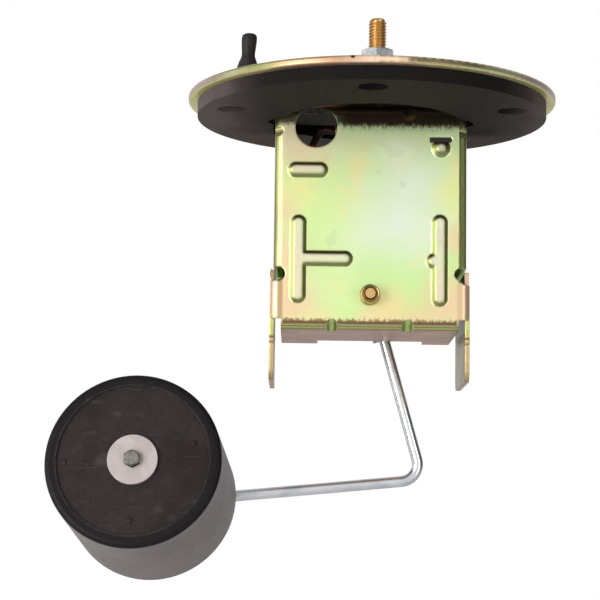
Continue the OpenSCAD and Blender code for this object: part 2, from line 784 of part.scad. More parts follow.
module lower_insulator() {
    color([0.16, 0.14, 0.13])
    on_stud(0) difference() {
        union() {
            translate([0, 0, lower_insulator_z]) cylinder(h = lower_insulator_t, d = insulator_d - 1.4);
            translate([0, 0, flange_low]) cylinder(h = sheet_t + disc_t / 2 - 0.05, d = shoulder_d);
        }
        translate([0, 0, lower_insulator_z - cut])
            cylinder(h = lower_insulator_t + sheet_t + disc_t + 2 * cut, d = stud_bore_d);
    }
}

module stud_washer() {
    color([0.74, 0.74, 0.70]) on_stud(stud_washer_z) ring(9, stud_bore_d, washer_t);
}

module lock_nut() {
    color([0.72, 0.73, 0.74]) on_stud(lock_nut_z) rotate(12) hex_nut(stud_bore_d);
}

module terminal_washer() {
    color([0.74, 0.74, 0.70]) on_stud(terminal_washer_z) ring(9, stud_bore_d, washer_t);
}

// Split spring washer
module spring_washer() {
    od = 7;
    slit = 0.6;
    color([0.60, 0.61, 0.62])
    on_stud(spring_washer_z) difference() {
        ring(od, stud_bore_d, spring_washer_t);
        rotate(-60) translate([0, -slit / 2, -cut]) cube([od, slit, spring_washer_t + 2 * cut]);
    }
}

module terminal_nut() {
    color([0.72, 0.73, 0.74]) on_stud(terminal_nut_z) rotate(-5) hex_nut(stud_bore_d);
}

module inner_washer() {
    color([0.74, 0.74, 0.70]) on_stud(inner_washer_z) ring(9, stud_bore_d, washer_t);
}

module inner_nut() {
    color([0.80, 0.64, 0.30]) on_stud(inner_nut_z) hex_nut(stud_bore_d);
}

eyelet_od = 8;
barrel_d = 2.8;
barrel_near = 5.2;
barrel_far = 9.2;
barrel_z = eyelet_z + eyelet_t - barrel_d / 2 - 0.1;

// Ring terminal of the lead: a ring with a crimped barrel towards the left
module lead_eyelet() {
    color([0.80, 0.76, 0.62])
    difference() {
        union() {
            on_stud(eyelet_z) cylinder(h = eyelet_t, d = eyelet_od);
            translate([stud_x - barrel_near, stud_y - 1.2, eyelet_z]) cube([barrel_near, 2.4, eyelet_t]);
            translate([stud_x - barrel_far, stud_y, barrel_z]) rotate([0, 90, 0])
                cylinder(h = barrel_far - barrel_near + 0.4, d = barrel_d);
        }
        on_stud(eyelet_z - cut) cylinder(h = eyelet_t + 2 * cut, d = stud_bore_d);
        translate([stud_x - barrel_far - cut, stud_y, barrel_z]) rotate([0, 90, 0])
            cylinder(h = cut + 2.8, d = lead_d + 2 * seat_gap);
    }
}

// Route of the lead from the barrel past the window down to the left terminal
lead_pts = [
    [stud_x - barrel_far + 2.5, stud_y, barrel_z],
    [stud_x - barrel_far - 0.6, stud_y, barrel_z],
    [-10.4, stud_y + 0.3, barrel_z + 0.2],
    [-11.6, stud_y + 0.6, -1.9],
    [-12.7, stud_y + 0.6, -4.2],
    [-14.2, stud_y + 1.1, -7.5],
    [-15.4, stud_y + 2.2, -12],
    [-15.9, stud_y + 4, -16.5],
    [-15, stud_y + 4.6, -20.5],
    [-terminal_x - 0.3, board_y + 2.6, terminal_z + 1.2],
    [-terminal_x, board_y + 1.1 + lead_d / 2 + 0.05, terminal_z - 0.4]
];
lead_sides = 12;
lead_steps = 4;

// Point of a smooth curve through four neighbouring points
function smooth_point(a, b, c, d, t) =
    0.5 * (2 * b + (c - a) * t + (2 * a - 5 * b + 4 * c - d) * t * t + (3 * b - a - 3 * c + d) * t * t * t);
function pick(pts, i) = pts[max(0, min(len(pts) - 1, i))];
function smooth_route(pts, steps) = concat(
    [for (i = [0:len(pts) - 2], k = [0:steps - 1])
        smooth_point(pick(pts, i - 1), pts[i], pts[i + 1], pick(pts, i + 2), k / steps)],
    [pts[len(pts) - 1]]);
function run_dir(route, i) = unit(pick(route, i + 1) - pick(route, i - 1));

// Tube with a constant round section along a route that never runs along Y
module tube_along(route, d, sides) {
    rings = [for (i = [0:len(route) - 1])
        let (t = run_dir(route, i), u = unit(cross(t, [0, 1, 0])), w = cross(t, u))
        for (k = [0:sides - 1]) route[i] + d / 2 * (cos(k * 360 / sides) * u + sin(k * 360 / sides) * w)];
    last = (len(route) - 1) * sides;
    skin = [for (i = [0:len(route) - 2], k = [0:sides - 1])
        let (n = (k + 1) % sides) [i * sides + k, i * sides + n, (i + 1) * sides + n, (i + 1) * sides + k]];
    ends = [[for (k = [sides - 1:-1:0]) k], [for (k = [0:sides - 1]) last + k]];
    polyhedron(points = rings, faces = concat(skin, ends), convexity = 6);
}

module red_lead() {
    color([0.75, 0.08, 0.06]) tube_along(smooth_route(lead_pts, lead_steps), lead_d, lead_sides);
}

post_foot_d = 3.2;
post_collar_d = 5;
post_h = 14.6;

module earth_post() {
    color([0.80, 0.64, 0.30])
    translate([-post_x, post_y, 0]) {
        translate([0, 0, disc_z + 0.1]) cylinder(h = disc_t, d = post_foot_d);
        translate([0, 0, disc_top]) cylinder(h = 1, d = post_collar_d);
        translate([0, 0, disc_top + 1]) cylinder(h = post_h - 1, d = post_d);
    }
}

module rubber_boot() {
    neck = boot_neck_d / 2;
    base = boot_base_d / 2;
    cavity = post_d / 2 + 0.1;
    color([0.10, 0.10, 0.10])
    translate([-post_x, post_y, disc_top])
    rotate_extrude($fn = 48) polygon([
        [post_collar_d / 2 + 0.1, 0], [base - 0.3, 0], [base, 0.4], [base, 1.6], [base - 0.5, 2.4],
        [base - 0.9, 5], [neck + 0.95, 7.6], [neck + 0.62, 9], [neck + 0.16, 10], [neck - 0.02, 11],
        [neck + 0.02, 13], [neck, boot_h - 0.6], [neck - 0.2, boot_h - 0.15], [neck - 0.6, boot_h],
        [0, boot_h], [0, post_h + 0.3], [cavity, post_h + 0.1], [cavity, 1.2],
            [post_collar_d / 2 + 0.1, 1.2]]);
}

module pivot_shaft() {
    color([0.84, 0.68, 0.34])
    cross_pin(0, pivot_z, -bush_out - shaft_out, lever_rear, shaft_d);
}

module shaft_collar() {
    color([0.80, 0.64, 0.30])
    difference() {
        cross_pin(0, pivot_z, collar_y, lever_front, collar_d);
        cross_pin(0, pivot_z, collar_y - cut, lever_front + cut, shaft_d + 2 * seat_gap);
    }
}

// Turns a shape about the pivot so that its own upright points along the wiper at rest
module wiper_frame() {
    translate([0, 0, pivot_z]) rotate([0, -travel / 2, 0]) children();
}

module wiper_hub() {
    color([0.80, 0.64, 0.30])
    difference() {
        union() {
            cross_pin(0, pivot_z, leaf_y - hub_l, leaf_y, hub_d);
            cross_pin(0, pivot_z, leaf_y + leaf_t, leaf_y + leaf_t + 0.7, hub_d - 2);
            cross_pin(0, pivot_z, leaf_y - 0.1, leaf_y + leaf_t + 0.1, shaft_d + 1.6);
        }
        cross_pin(0, pivot_z, leaf_y - hub_l - cut, leaf_y + 2, shaft_d + 2 * seat_gap);
    }
}

module wiper_leaf() {
    tip_r = winding_r + 1.6;
    color([0.78, 0.52, 0.30])
    wiper_frame() difference() {
        upright(leaf_y, leaf_y + leaf_t) {
            difference() {
                union() {
                    circle(hub_d / 2);
                    polygon([[-3.6, 1], [3.6, 1], [1.7, tip_r - 2], [1.2, tip_r], [-1.2, tip_r],
                        [-1.7, tip_r - 2]]);
                }
                polygon([[-1.4, 5.4], [1.4, 5.4], [0.7, tip_r - 5], [-0.7, tip_r - 5]]);
            }
        }
        cross_pin(0, 0, leaf_y - cut, leaf_y + 2, shaft_d + 1.6 + 2 * seat_gap);
    }
}

module contact_button() {
    d = 2;
    color([0.86, 0.84, 0.78])
    wiper_frame() translate([0, leaf_y, winding_r]) rotate([90, 0, 0]) {
        cylinder(h = contact_h * 0.4, d = d);
        translate([0, 0, contact_h * 0.4]) cylinder(h = contact_h * 0.6, d1 = d, d2 = d * 0.5);
    }
}

// Turns a shape so that its own downward direction follows the upper wire
module wire_frame() {
    translate([wire_foot[0], 0, wire_foot[1]]) rotate([0, -wire_angle, 0]) children();
}

// Clamp tab of the lever: a strip bent round the wire
module wire_tab(s) {
    tab_w = 3;
    r_out = wire_d / 2 + seat_gap + 0.9;
    translate([0, 0, s]) linear_extrude(tab_w) {
        translate([0, wire_y]) circle(r_out, $fn = 48);
        translate([-r_out, lever_rear - 0.5]) square([2 * r_out, wire_y - lever_rear + 0.5]);
    }
}

module arm_lever() {
    lever_boss_d = 9;
    strip_w = 5.4;
    color([0.72, 0.72, 0.62])
    difference() {
        union() {
            upright(lever_front, lever_rear) translate([0, pivot_z]) {
                circle(d = lever_boss_d);
                // finger that meets the bridge's tab when the tank is empty
                translate([-9, -1.5]) square([9, 3]);
                translate([-9, 0]) circle(d = 3);
            }
            wire_frame() upright(lever_front, lever_rear)
                translate([-strip_w / 2, -8.2]) square([strip_w, 16.4]);
            wire_frame() for (s = [-7.6, 4.6]) wire_tab(s);
        }
        cross_pin(0, pivot_z, lever_front - cut, lever_rear + cut, shaft_d + 2 * seat_gap);
        wire_frame() translate([0, wire_y, -20]) cylinder(h = 40, r = wire_d / 2 + seat_gap);
    }
}

// Point on the float's axis at a distance from the wire's corner
function axis_point(s) = corner3 + s * float_dir;

// Places a shape with its own +Z along the float's axis, towards the front
module on_axis(s) {
    along(axis_point(s), float_dir) children();
}

// Round bend between two straight bars that meet in a corner
module wire_bend(corner, d_in, d_out, r) {
    turn = acos(unit(d_in) * unit(d_out));
    start = corner - r * tan(turn / 2) * unit(d_in);
    axis = unit(cross(d_in, d_out));
    side = cross(axis, unit(d_in));
    centre = start + r * side;
    multmatrix([
        [-side[0], unit(d_in)[0], axis[0], centre[0]],
        [-side[1], unit(d_in)[1], axis[1], centre[1]],
        [-side[2], unit(d_in)[2], axis[2], centre[2]],
        [0, 0, 0, 1]])
        rotate_extrude(angle = turn, $fn = 64) translate([r, 0]) circle(d = wire_d + bend_swell, $fn = 32);
}

module float_wire() {
    start3 = [wire_start[0], wire_y, wire_start[1]];
    elbow3 = [wire_elbow[0], wire_y, wire_elbow[1]];
    up3 = [up_dir[0], 0, up_dir[1]];
    elbow_turned = acos(up3 * reach3);
    elbow_len = elbow_r * tan(elbow_turned / 2);
    flat = 0.35;
    color([0.74, 0.76, 0.78]) {
        bar(start3, elbow3 - (elbow_len - bend_lap) * up3, wire_d);
        wire_bend(elbow3, up3, reach3, elbow_r);
        bar(elbow3 + (elbow_len - bend_lap) * reach3,
            corner3 - (float_bend_tangent - bend_lap) * reach3, wire_d);
        wire_bend(corner3, reach3, float_dir, float_bend_r);
        bar(axis_point(float_bend_tangent - bend_lap), axis_point(peen_s + bend_lap), wire_d);
        // peened end: a flattened head with worn corners
        on_axis(peen_s) intersection() {
            cylinder(h = peen_t, d = peen_d, $fn = 6);
            union() {
                cylinder(h = peen_t - flat, d = peen_d);
                translate([0, 0, peen_t - flat]) cylinder(h = flat, d1 = peen_d, d2 = peen_d - 3 * flat);
            }
        }
    }
}

module float_washer_front() {
    color([0.80, 0.76, 0.74]) on_axis(front_washer_s) ring(front_washer_d, washer_bore_d, float_washer_t);
}

module float_washer_rear() {
    color([0.76, 0.76, 0.74]) on_axis(rear_washer_s) ring(8, washer_bore_d, float_washer_t);
}

// Float: a drum with a thin lip round each face and three ejector marks
module float_body() {
    lip = 1.3;
    r = float_d / 2;
    color([0.11, 0.10, 0.10])
    on_axis(float_s) difference() {
        rotate_extrude($fn = 128) {
            square([r - float_edge_r, float_l]);
            translate([0, float_edge_r]) square([r, float_l - 2 * float_edge_r]);
            translate([r - float_edge_r, float_edge_r]) circle(float_edge_r, $fn = 32);
            translate([r - float_edge_r, float_l - float_edge_r]) circle(float_edge_r, $fn = 32);
        }
        translate([0, 0, -cut]) cylinder(h = float_l + 2 * cut, d = float_bore_d);
        translate([0, 0, float_l - float_recess])
            cylinder(h = float_recess + cut, r = r - float_edge_r - lip);
    }
}

mounting_disc();
gasket();
bracket();
pivot_bush();
bearing_bridge();
rear_bush();
resistor_carrier();
resistor_board();
board_rivets();
winding_former();
resistance_winding();
winding_terminals();
terminal_stud();
upper_insulator();
lower_insulator();
stud_washer();
lock_nut();
terminal_washer();
spring_washer();
terminal_nut();
inner_washer();
inner_nut();
lead_eyelet();
red_lead();
earth_post();
rubber_boot();
pivot_shaft();
shaft_collar();
wiper_hub();
wiper_leaf();
contact_button();
arm_lever();
float_wire();
float_washer_front();
float_washer_rear();
float_body();
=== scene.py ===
import json
import math

import bmesh
import bpy
from mathutils import Matrix, Vector, noise


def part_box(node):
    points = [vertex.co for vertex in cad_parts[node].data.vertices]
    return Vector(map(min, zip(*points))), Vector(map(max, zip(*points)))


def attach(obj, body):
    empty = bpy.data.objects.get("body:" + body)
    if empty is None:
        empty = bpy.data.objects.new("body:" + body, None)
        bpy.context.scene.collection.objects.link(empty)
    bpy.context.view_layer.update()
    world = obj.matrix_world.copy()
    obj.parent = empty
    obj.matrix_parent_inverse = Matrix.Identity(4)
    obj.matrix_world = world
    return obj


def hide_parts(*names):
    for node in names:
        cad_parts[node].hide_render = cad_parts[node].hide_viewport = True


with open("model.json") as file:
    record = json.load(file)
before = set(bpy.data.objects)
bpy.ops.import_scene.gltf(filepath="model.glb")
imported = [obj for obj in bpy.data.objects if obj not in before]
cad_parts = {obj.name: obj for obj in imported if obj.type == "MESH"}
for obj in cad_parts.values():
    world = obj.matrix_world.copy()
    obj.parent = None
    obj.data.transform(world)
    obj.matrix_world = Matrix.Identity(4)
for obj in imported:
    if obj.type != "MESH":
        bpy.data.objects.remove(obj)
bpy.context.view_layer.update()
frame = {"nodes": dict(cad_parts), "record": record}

MM = 0.001

# Places and sizes that the source gives, in millimetres
PIVOT_Z = -38.6
STUD = (1.5, 7.4)
STUD_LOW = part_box("terminal_stud")[0].z / MM
STUD_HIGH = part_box("terminal_stud")[1].z / MM
STUD_R = 2.0
BOOT_FOOT = (-27.5, 8.0, 4.6)
FLOAT_CORNER = Vector((-47.142, 25.5, -83.301))
FLOAT_DIR = Vector((-0.0664286, -0.9744106, 0.2147353))
FLOAT_START = 3.969
FLOAT_LONG = 33.6
FLOAT_RECESS = 0.6

# Thread of the stud, in millimetres, and its flanks as shares of the pitch
THREAD_PITCH = 0.7
THREAD_DEPTH = 0.36
THREAD_STEPS = 32
THREAD_FLANKS = (0.0, 0.40, 0.52, 0.92, 1.0)
CREST_GAP = 0.01
POINT_LONG = 0.7
POINT_SLOPE = 0.75

# Boot: outline from the foot up, then its folds, with their waves round it and along it
BOOT_OUTLINE = (
    (0, 0.05), (2.2, 0.02), (3.7, 0.02), (4.0, 0.4), (4.0, 1.6), (3.5, 2.4), (3.1, 5.0),
    (2.9, 6.6), (2.6, 7.9), (2.32, 9.0), (2.1, 9.8), (1.74, 10.6), (1.52, 11.3), (1.50, 12.2),
    (1.60, 13.4), (1.68, 14.7), (1.69, 15.7), (1.56, 16.2), (1.15, 16.44), (0, 16.47))
BOOT_FACET = 0.8
BOOT_TIP_R = 0.8
BOOT_PLAIN = 2.6
BOOT_END = 16
WAIST_Z = 10.6
WAIST_LONG = 2.6
SWELL = 0.04
FOLD_DEEP = 0.22
FOLD_WAVES = (2.6, 0.28)
PINCH_DEEP = 0.07
PINCH_WAVES = (5, 0.6)
PINCH_SEED = (4, 9, 2)
LEAN = 0.045
LEAN_FROM = 8.5

# Front bush: radius of its bore and of its front edge, and how far it stands out
BUSH_BORE = 1.16
BUSH_EDGE = 2.04
BUSH_OUT = 3.0

# Ejector marks on the float's face: distance from its middle, and turn in degrees
PIPS = ((14.6, 181.5), (13.2, 16.0), (12.9, 269.0))
PIP_OUTLINE = ((0, 0.34), (0.45, 0.34), (0.62, 0.24), (0.68, 0.02), (0.68, -0.1), (0, -0.1))

# Camera, floor and lamps, in metres, radians and watts
CAMERA_AT = (-0.0151, -0.4291, -0.0942)
CAMERA_TILT = 0.126
CAMERA_ROLL = 0.013
LENS_LONG = 120
LENS_WIDE = 36
FLOOR_AT = (0, 0.4, -0.30)
FLOOR_HALF = 1.6
LAMPS = (
    ("key_lamp", (-0.66, -0.70, -0.04), (0, 0, -0.03), (0.45, 0.5), 6.8),
    ("fill_lamp", (0.60, -0.70, -0.12), (0, 0, -0.03), (0.25, 0.6), 2.1),
    ("side_lamp", (-0.8, 0.05, -0.05), (0, 0, -0.04), (0.25, 0.7), 1.2))


# Mesh work

def finish_mesh(bm, name, material, body, stands_for=(), smooth_angle=40):
    """Turns a bmesh in millimetres into a finished piece that rides on a body."""
    bmesh.ops.remove_doubles(bm, verts=bm.verts[:], dist=1e-4)
    bmesh.ops.recalc_face_normals(bm, faces=bm.faces[:])
    bmesh.ops.scale(bm, vec=(MM, MM, MM), verts=bm.verts[:])
    mesh = bpy.data.meshes.new(name)
    for edge in bm.edges:
        sharp = len(edge.link_faces) == 2 and edge.calc_face_angle(0) > math.radians(smooth_angle)
        edge.smooth = not sharp
    for face in bm.faces:
        face.smooth = True
    bm.to_mesh(mesh)
    bm.free()
    piece = bpy.data.objects.new(name, mesh)
    bpy.context.scene.collection.objects.link(piece)
    piece.data.materials.append(material)
    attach(piece, body)
    if stands_for:
        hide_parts(*stands_for)
    return piece


def chain(bm, points):
    """A line of edges through the points, for a spin to turn."""
    verts = [bm.verts.new(p) for p in points]
    edges = [bm.edges.new(pair) for pair in zip(verts, verts[1:])]
    return verts + edges


def turned(points, steps=48):
    """A shape turned round Z from (radius, height) pairs."""
    bm = bmesh.new()
    outline = chain(bm, [(r, 0, z) for r, z in points])
    bmesh.ops.spin(bm, geom=outline, cent=(0, 0, 0), axis=(0, 0, 1), dvec=(0, 0, 0),
                   angle=math.tau, steps=steps, use_merge=True)
    bmesh.ops.remove_doubles(bm, verts=bm.verts[:], dist=1e-4)
    return bm


def cut_level(bm, level, way):
    """Cuts a shape off at a height and closes it there; way is 1 for above, -1 for below."""
    cut = bmesh.ops.bisect_plane(bm, geom=bm.verts[:] + bm.edges[:] + bm.faces[:], dist=1e-5,
                                 plane_co=(0, 0, level), plane_no=(0, 0, way), clear_outer=True)
    rim = [e for e in cut["geom_cut"] if isinstance(e, bmesh.types.BMEdge)]
    bmesh.ops.holes_fill(bm, edges=rim, sides=0)


def threaded_stud(material):
    """The terminal stud with its rolled thread, which stands for the plain one."""
    bm = bmesh.new()
    turns = math.ceil((STUD_HIGH - STUD_LOW) / THREAD_PITCH) + 2
    root = STUD_R - THREAD_DEPTH
    crest = STUD_R - CREST_GAP
    start = STUD_LOW - THREAD_PITCH
    flanks = zip((root, crest, crest, root, root), THREAD_FLANKS)
    outline = chain(bm, [(r, 0, start + share * THREAD_PITCH) for r, share in flanks])
    bmesh.ops.spin(bm, geom=outline, cent=(0, 0, 0), axis=(0, 0, 1),
                   dvec=(0, 0, THREAD_PITCH / THREAD_STEPS), angle=math.tau * turns,
                   steps=THREAD_STEPS * turns, use_merge=False)
    bmesh.ops.remove_doubles(bm, verts=bm.verts[:], dist=1e-3)
    cut_level(bm, STUD_LOW, -1)
    cut_level(bm, STUD_HIGH, 1)
    for vert in bm.verts:
        reach = math.hypot(vert.co.x, vert.co.y)
        most = STUD_R - POINT_SLOPE * max(0.0, vert.co.z - (STUD_HIGH - POINT_LONG))
        if reach > most:
            vert.co.x *= most / reach
            vert.co.y *= most / reach
    bmesh.ops.translate(bm, vec=(STUD[0], STUD[1], 0), verts=bm.verts[:])
    return finish_mesh(bm, "stud_thread", material, "frame", ["terminal_stud"], 30)


def round_noise(turn, z, across, along, seed=(0, 0, 0)):
    """Noise that runs round an upright shape and closes on itself."""
    spot = Vector((math.cos(turn) * across, math.sin(turn) * across, z * along))
    return noise.noise(spot + Vector(seed))


def wrinkled_boot(material):
    """The rubber boot, with the folds that the stretched neck gives it."""
    bm = turned(BOOT_OUTLINE, 64)
    wide = [e for e in bm.edges if e.calc_length() > BOOT_FACET]
    bmesh.ops.subdivide_edges(bm, edges=wide, cuts=2, use_grid_fill=True, smooth=0.0)
    for vert in bm.verts:
        x, y, z = vert.co
        reach = math.hypot(x, y)
        if reach < BOOT_TIP_R or z <= BOOT_PLAIN:
            continue
        turn = math.atan2(y, x)
        fold = round_noise(turn, z, *FOLD_WAVES)
        pinch = round_noise(turn, z, *PINCH_WAVES, PINCH_SEED)
        waist = math.exp(-((z - WAIST_Z) / WAIST_LONG) ** 2)
        push = SWELL * (z < BOOT_END) - FOLD_DEEP * waist * abs(fold) - PINCH_DEEP * abs(pinch)
        vert.co.x *= (reach + push) / reach
        vert.co.y *= (reach + push) / reach
    for vert in bm.verts:
        vert.co.x += LEAN * max(0.0, vert.co.z - LEAN_FROM)
    bmesh.ops.smooth_vert(bm, verts=bm.verts[:], factor=0.35, use_axis_x=True, use_axis_y=True,
                          use_axis_z=True)
    bmesh.ops.translate(bm, vec=BOOT_FOOT, verts=bm.verts[:])
    return finish_mesh(bm, "boot_skin", material, "frame", ["rubber_boot"], 60)


def flared_bush(material):
    """The pivot bush with its turned groove and rolled edge, in front of the plate."""
    bore, edge = BUSH_BORE, BUSH_EDGE
    bm = turned([(bore, 4.3), (bore, 0.45), (bore + 0.12, 0.12), (bore + 0.24, 0.05), (1.50, 0.16),
                 (1.56, 0.30), (1.64, 0.30), (1.72, 0.12), (1.86, 0.06), (edge - 0.03, 0.16),
                 (edge, 0.42), (edge, 3.1), (3.0, 3.1), (3.05, 3.2), (3.05, 4.2), (2.95, 4.3),
                 (bore, 4.3)], 48)
    lie = Matrix.Translation((0, -BUSH_OUT, PIVOT_Z)) @ Matrix.Rotation(-math.pi / 2, 4, "X")
    bmesh.ops.transform(bm, matrix=lie, verts=bm.verts[:])
    return finish_mesh(bm, "bush_turned", material, "frame", ["pivot_bush"], 35)


def on_float_face():
    """The place of the float's front face, with Z along its wire and X level."""
    across = (Vector((1, 0, 0)) - FLOAT_DIR.x * FLOAT_DIR).normalized()
    turn = Matrix((across, FLOAT_DIR.cross(across), FLOAT_DIR)).transposed().to_4x4()
    face = FLOAT_START + FLOAT_LONG - FLOAT_RECESS
    return Matrix.Translation(FLOAT_CORNER + face * FLOAT_DIR) @ turn


def float_pips(material):
    """Three small ejector marks on the float's face, each a low rounded button."""
    bm = bmesh.new()
    for radius, turn in PIPS:
        button = turned(PIP_OUTLINE, 24)
        angle = math.radians(turn)
        away = Vector((math.cos(angle), math.sin(angle), 0)) * radius
        bmesh.ops.translate(button, vec=away, verts=button.verts[:])
        bmesh.ops.transform(button, matrix=on_float_face(), verts=button.verts[:])
        spare = bpy.data.meshes.new("button")
        button.to_mesh(spare)
        button.free()
        bm.from_mesh(spare)
        bpy.data.meshes.remove(spare)
    return finish_mesh(bm, "float_pips", material, "float", (), 50)


# Node work

def put(tree, kind, inputs=None, **settings):
    """Adds a node, sets what it is, and fills or links its inputs."""
    made = tree.nodes.new(kind)
    for key, value in settings.items():
        setattr(made, key, value)
    for key, value in (inputs or {}).items():
        if isinstance(value, bpy.types.NodeSocket):
            tree.links.new(value, made.inputs[key])
        else:
            made.inputs[key].default_value = value
    return made


def use(tree, group, **inputs):
    """Places a node group with its own values."""
    return put(tree, "ShaderNodeGroup", inputs, node_tree=group).outputs[0]


def rgb(red, green, blue):
    """A colour as seen on screen, 0 to 255, as the shader wants it."""
    def level(value):
        part = value / 255
        return part / 12.92 if part <= 0.04045 else ((part + 0.055) / 1.055) ** 2.4
    return (level(red), level(green), level(blue), 1)


def maths(tree, operation, first, second=0.5, third=0.5, clamp=False):
    """One operation on numbers or sockets."""
    return put(tree, "ShaderNodeMath", {0: first, 1: second, 2: third}, operation=operation,
               use_clamp=clamp).outputs[0]


def times(tree, *factors):
    """The product of masks and numbers."""
    product = factors[0]
    for factor in factors[1:]:
        product = maths(tree, "MULTIPLY", product, factor)
    return product


def size_of(tree, value):
    """A value without its sign."""
    return maths(tree, "ABSOLUTE", value)


def shaken(tree, value, shake, amount):
    """A value moved up and down by a noise, over a range of the amount."""
    return maths(tree, "ADD", value, times(tree, maths(tree, "SUBTRACT", shake, 0.5), amount))


def blend(tree, factor, first, second):
    """From the first colour to the second as the factor grows."""
    return put(tree, "ShaderNodeMix", {0: factor, 6: first, 7: second}, data_type="RGBA").outputs[2]


def cover(tree, paint, mask, colour, amount=1.0):
    """Lays a colour over the paint where the mask is."""
    if amount < 1:
        mask = times(tree, mask, amount)
    return blend(tree, mask, paint, colour)


def ramp(tree, value, low, high, to_low=0.0, to_high=1.0):
    """Runs smoothly from one result to the other while the value goes from low to high."""
    return put(tree, "ShaderNodeMapRange", {"Value": value, "From Min": low, "From Max": high,
                                            "To Min": to_low, "To Max": to_high},
               interpolation_type="SMOOTHSTEP").outputs["Result"]


def bands(tree, value, stops):
    """A colour for each value, running evenly from stop to stop."""
    made = put(tree, "ShaderNodeValToRGB", {"Fac": value})
    steps = made.color_ramp.elements
    while len(steps) < len(stops):
        steps.new(0.5)
    for step, (position, colour) in zip(steps, stops):
        step.position = position
        step.color = colour
    return made.outputs["Color"]


def cloud(tree, vector, scale, detail=3.0, rough=0.5, warp=0.0):
    """Soft noise from 0 to 1."""
    return put(tree, "ShaderNodeTexNoise", {"Vector": vector, "Scale": scale, "Detail": detail,
                                            "Roughness": rough, "Distortion": warp}).outputs[0]


def axes(tree, vector):
    """The three numbers of a vector."""
    return put(tree, "ShaderNodeSeparateXYZ", {"Vector": vector}).outputs


def stretched(tree, vector, stretch):
    """Coordinates that are stretched along their axes."""
    return put(tree, "ShaderNodeMapping", {"Vector": vector, "Scale": stretch}).outputs[0]


def bearings(tree):
    """The place on the piece, its three numbers, and those of the way the surface faces."""
    coords = put(tree, "ShaderNodeTexCoord")
    where = coords.outputs["Object"]
    return where, axes(tree, where), axes(tree, coords.outputs["Normal"])


def spread(tree, vector, centre, radius):
    """1 at a place, falling to 0 at the radius, all in metres."""
    away = put(tree, "ShaderNodeVectorMath", {0: vector, 1: centre}, operation="DISTANCE")
    return ramp(tree, away.outputs["Value"], radius, 0.0)


def new_group(name, inputs, outputs):
    """An empty node group with named sockets."""
    group = bpy.data.node_groups.new(name, "ShaderNodeTree")
    for key, kind, value in inputs:
        socket = group.interface.new_socket(key, in_out="INPUT", socket_type=kind)
        if value is not None:
            socket.default_value = value
    for key, kind in outputs:
        group.interface.new_socket(key, in_out="OUTPUT", socket_type=kind)
    return group, group.nodes.new("NodeGroupInput").outputs, group.nodes.new("NodeGroupOutput").inputs


def make_drift():
    """Slow drift between three colours, as a passivated plating has."""
    group, given, out = new_group(
        "colour_drift",
        [("Vector", "NodeSocketVector", None), ("Scale", "NodeSocketFloat", 60.0),
         ("First", "NodeSocketColor", None), ("Second", "NodeSocketColor", None),
         ("Third", "NodeSocketColor", None)],
        [("Color", "NodeSocketColor")])
    wide = cloud(group, given["Vector"], given["Scale"], 2.0, 0.5, 0.6)
    finer = cloud(group, given["Vector"], times(group, given["Scale"], 2.3), 3.0, 0.55, 0.4)
    mixed = blend(group, ramp(group, wide, 0.40, 0.62), given["First"], given["Second"])
    mixed = cover(group, mixed, ramp(group, finer, 0.50, 0.72), given["Third"])
    group.links.new(mixed, out["Color"])
    return group


def make_grain():
    """Fine even grain, for roughness and bump."""
    group, given, out = new_group(
        "fine_grain",
        [("Vector", "NodeSocketVector", None), ("Scale", "NodeSocketFloat", 2500.0)],
        [("Value", "NodeSocketFloat")])
    group.links.new(cloud(group, given["Vector"], given["Scale"], 4.0, 0.65), out["Value"])
    return group


def make_scratches():
    """Thin scattered scratches that run two ways."""
    group, given, out = new_group(
        "scratches",
        [("Vector", "NodeSocketVector", None), ("Scale", "NodeSocketFloat", 250.0),
         ("Amount", "NodeSocketFloat", 0.5)],
        [("Mask", "NodeSocketFloat")])
    masks = []
    for turn, stretch in (((0.3, 0.9, 0.2), (1, 22, 1)), ((1.1, -0.5, 0.8), (1, 1, 26))):
        along = put(group, "ShaderNodeMapping", {"Vector": given["Vector"], "Rotation": turn,
                                                 "Scale": stretch}).outputs[0]
        line = cloud(group, along, given["Scale"], 1.0, 0.4)
        masks.append(ramp(group, line, 0.69, 0.76))
    both = maths(group, "MAXIMUM", masks[0], masks[1])
    group.links.new(times(group, both, given["Amount"]), out["Mask"])
    return group


def make_rub_and_glint():
    """Edges, for rubbed wear and for painted edge highlights: the rounded normal against the true one."""
    group, given, out = new_group(
        "edge_rub_and_glint",
        [("Radius", "NodeSocketFloat", 0.0004), ("Vector", "NodeSocketVector", None)],
        [("Mask", "NodeSocketFloat")])
    soft = put(group, "ShaderNodeBevel", {"Radius": given["Radius"]}, samples=4).outputs[0]
    hard = put(group, "ShaderNodeNewGeometry").outputs["Normal"]
    match = put(group, "ShaderNodeVectorMath", {0: soft, 1: hard}, operation="DOT_PRODUCT")
    edge = ramp(group, match.outputs["Value"], 0.97, 0.80)
    broken = cloud(group, given["Vector"], 900.0, 3.0, 0.6)
    group.links.new(times(group, edge, ramp(group, broken, 0.35, 0.6)), out["Mask"])
    return group


DRIFT = make_drift()
GRAIN = make_grain()
SCRATCHES = make_scratches()
EDGE_RUB_AND_GLINT = make_rub_and_glint()


def surface(name):
    """A new material with its own plain shader."""
    material = bpy.data.materials.new(name)
    material.use_nodes = True
    tree = material.node_tree
    return material, tree, tree.nodes["Principled BSDF"]


def join(tree, shader, colour, rough, height=None, strength=0.2, distance=0.0002, normal=None):
    """Links the finished colour, roughness and bump to the shader."""
    tree.links.new(colour, shader.inputs["Base Color"])
    tree.links.new(rough, shader.inputs["Roughness"])
    if height is not None:
        bump = put(tree, "ShaderNodeBump", {"Height": height, "Strength": strength, "Distance": distance})
        if normal is not None:
            tree.links.new(normal, bump.inputs["Normal"])
        tree.links.new(bump.outputs[0], shader.inputs["Normal"])


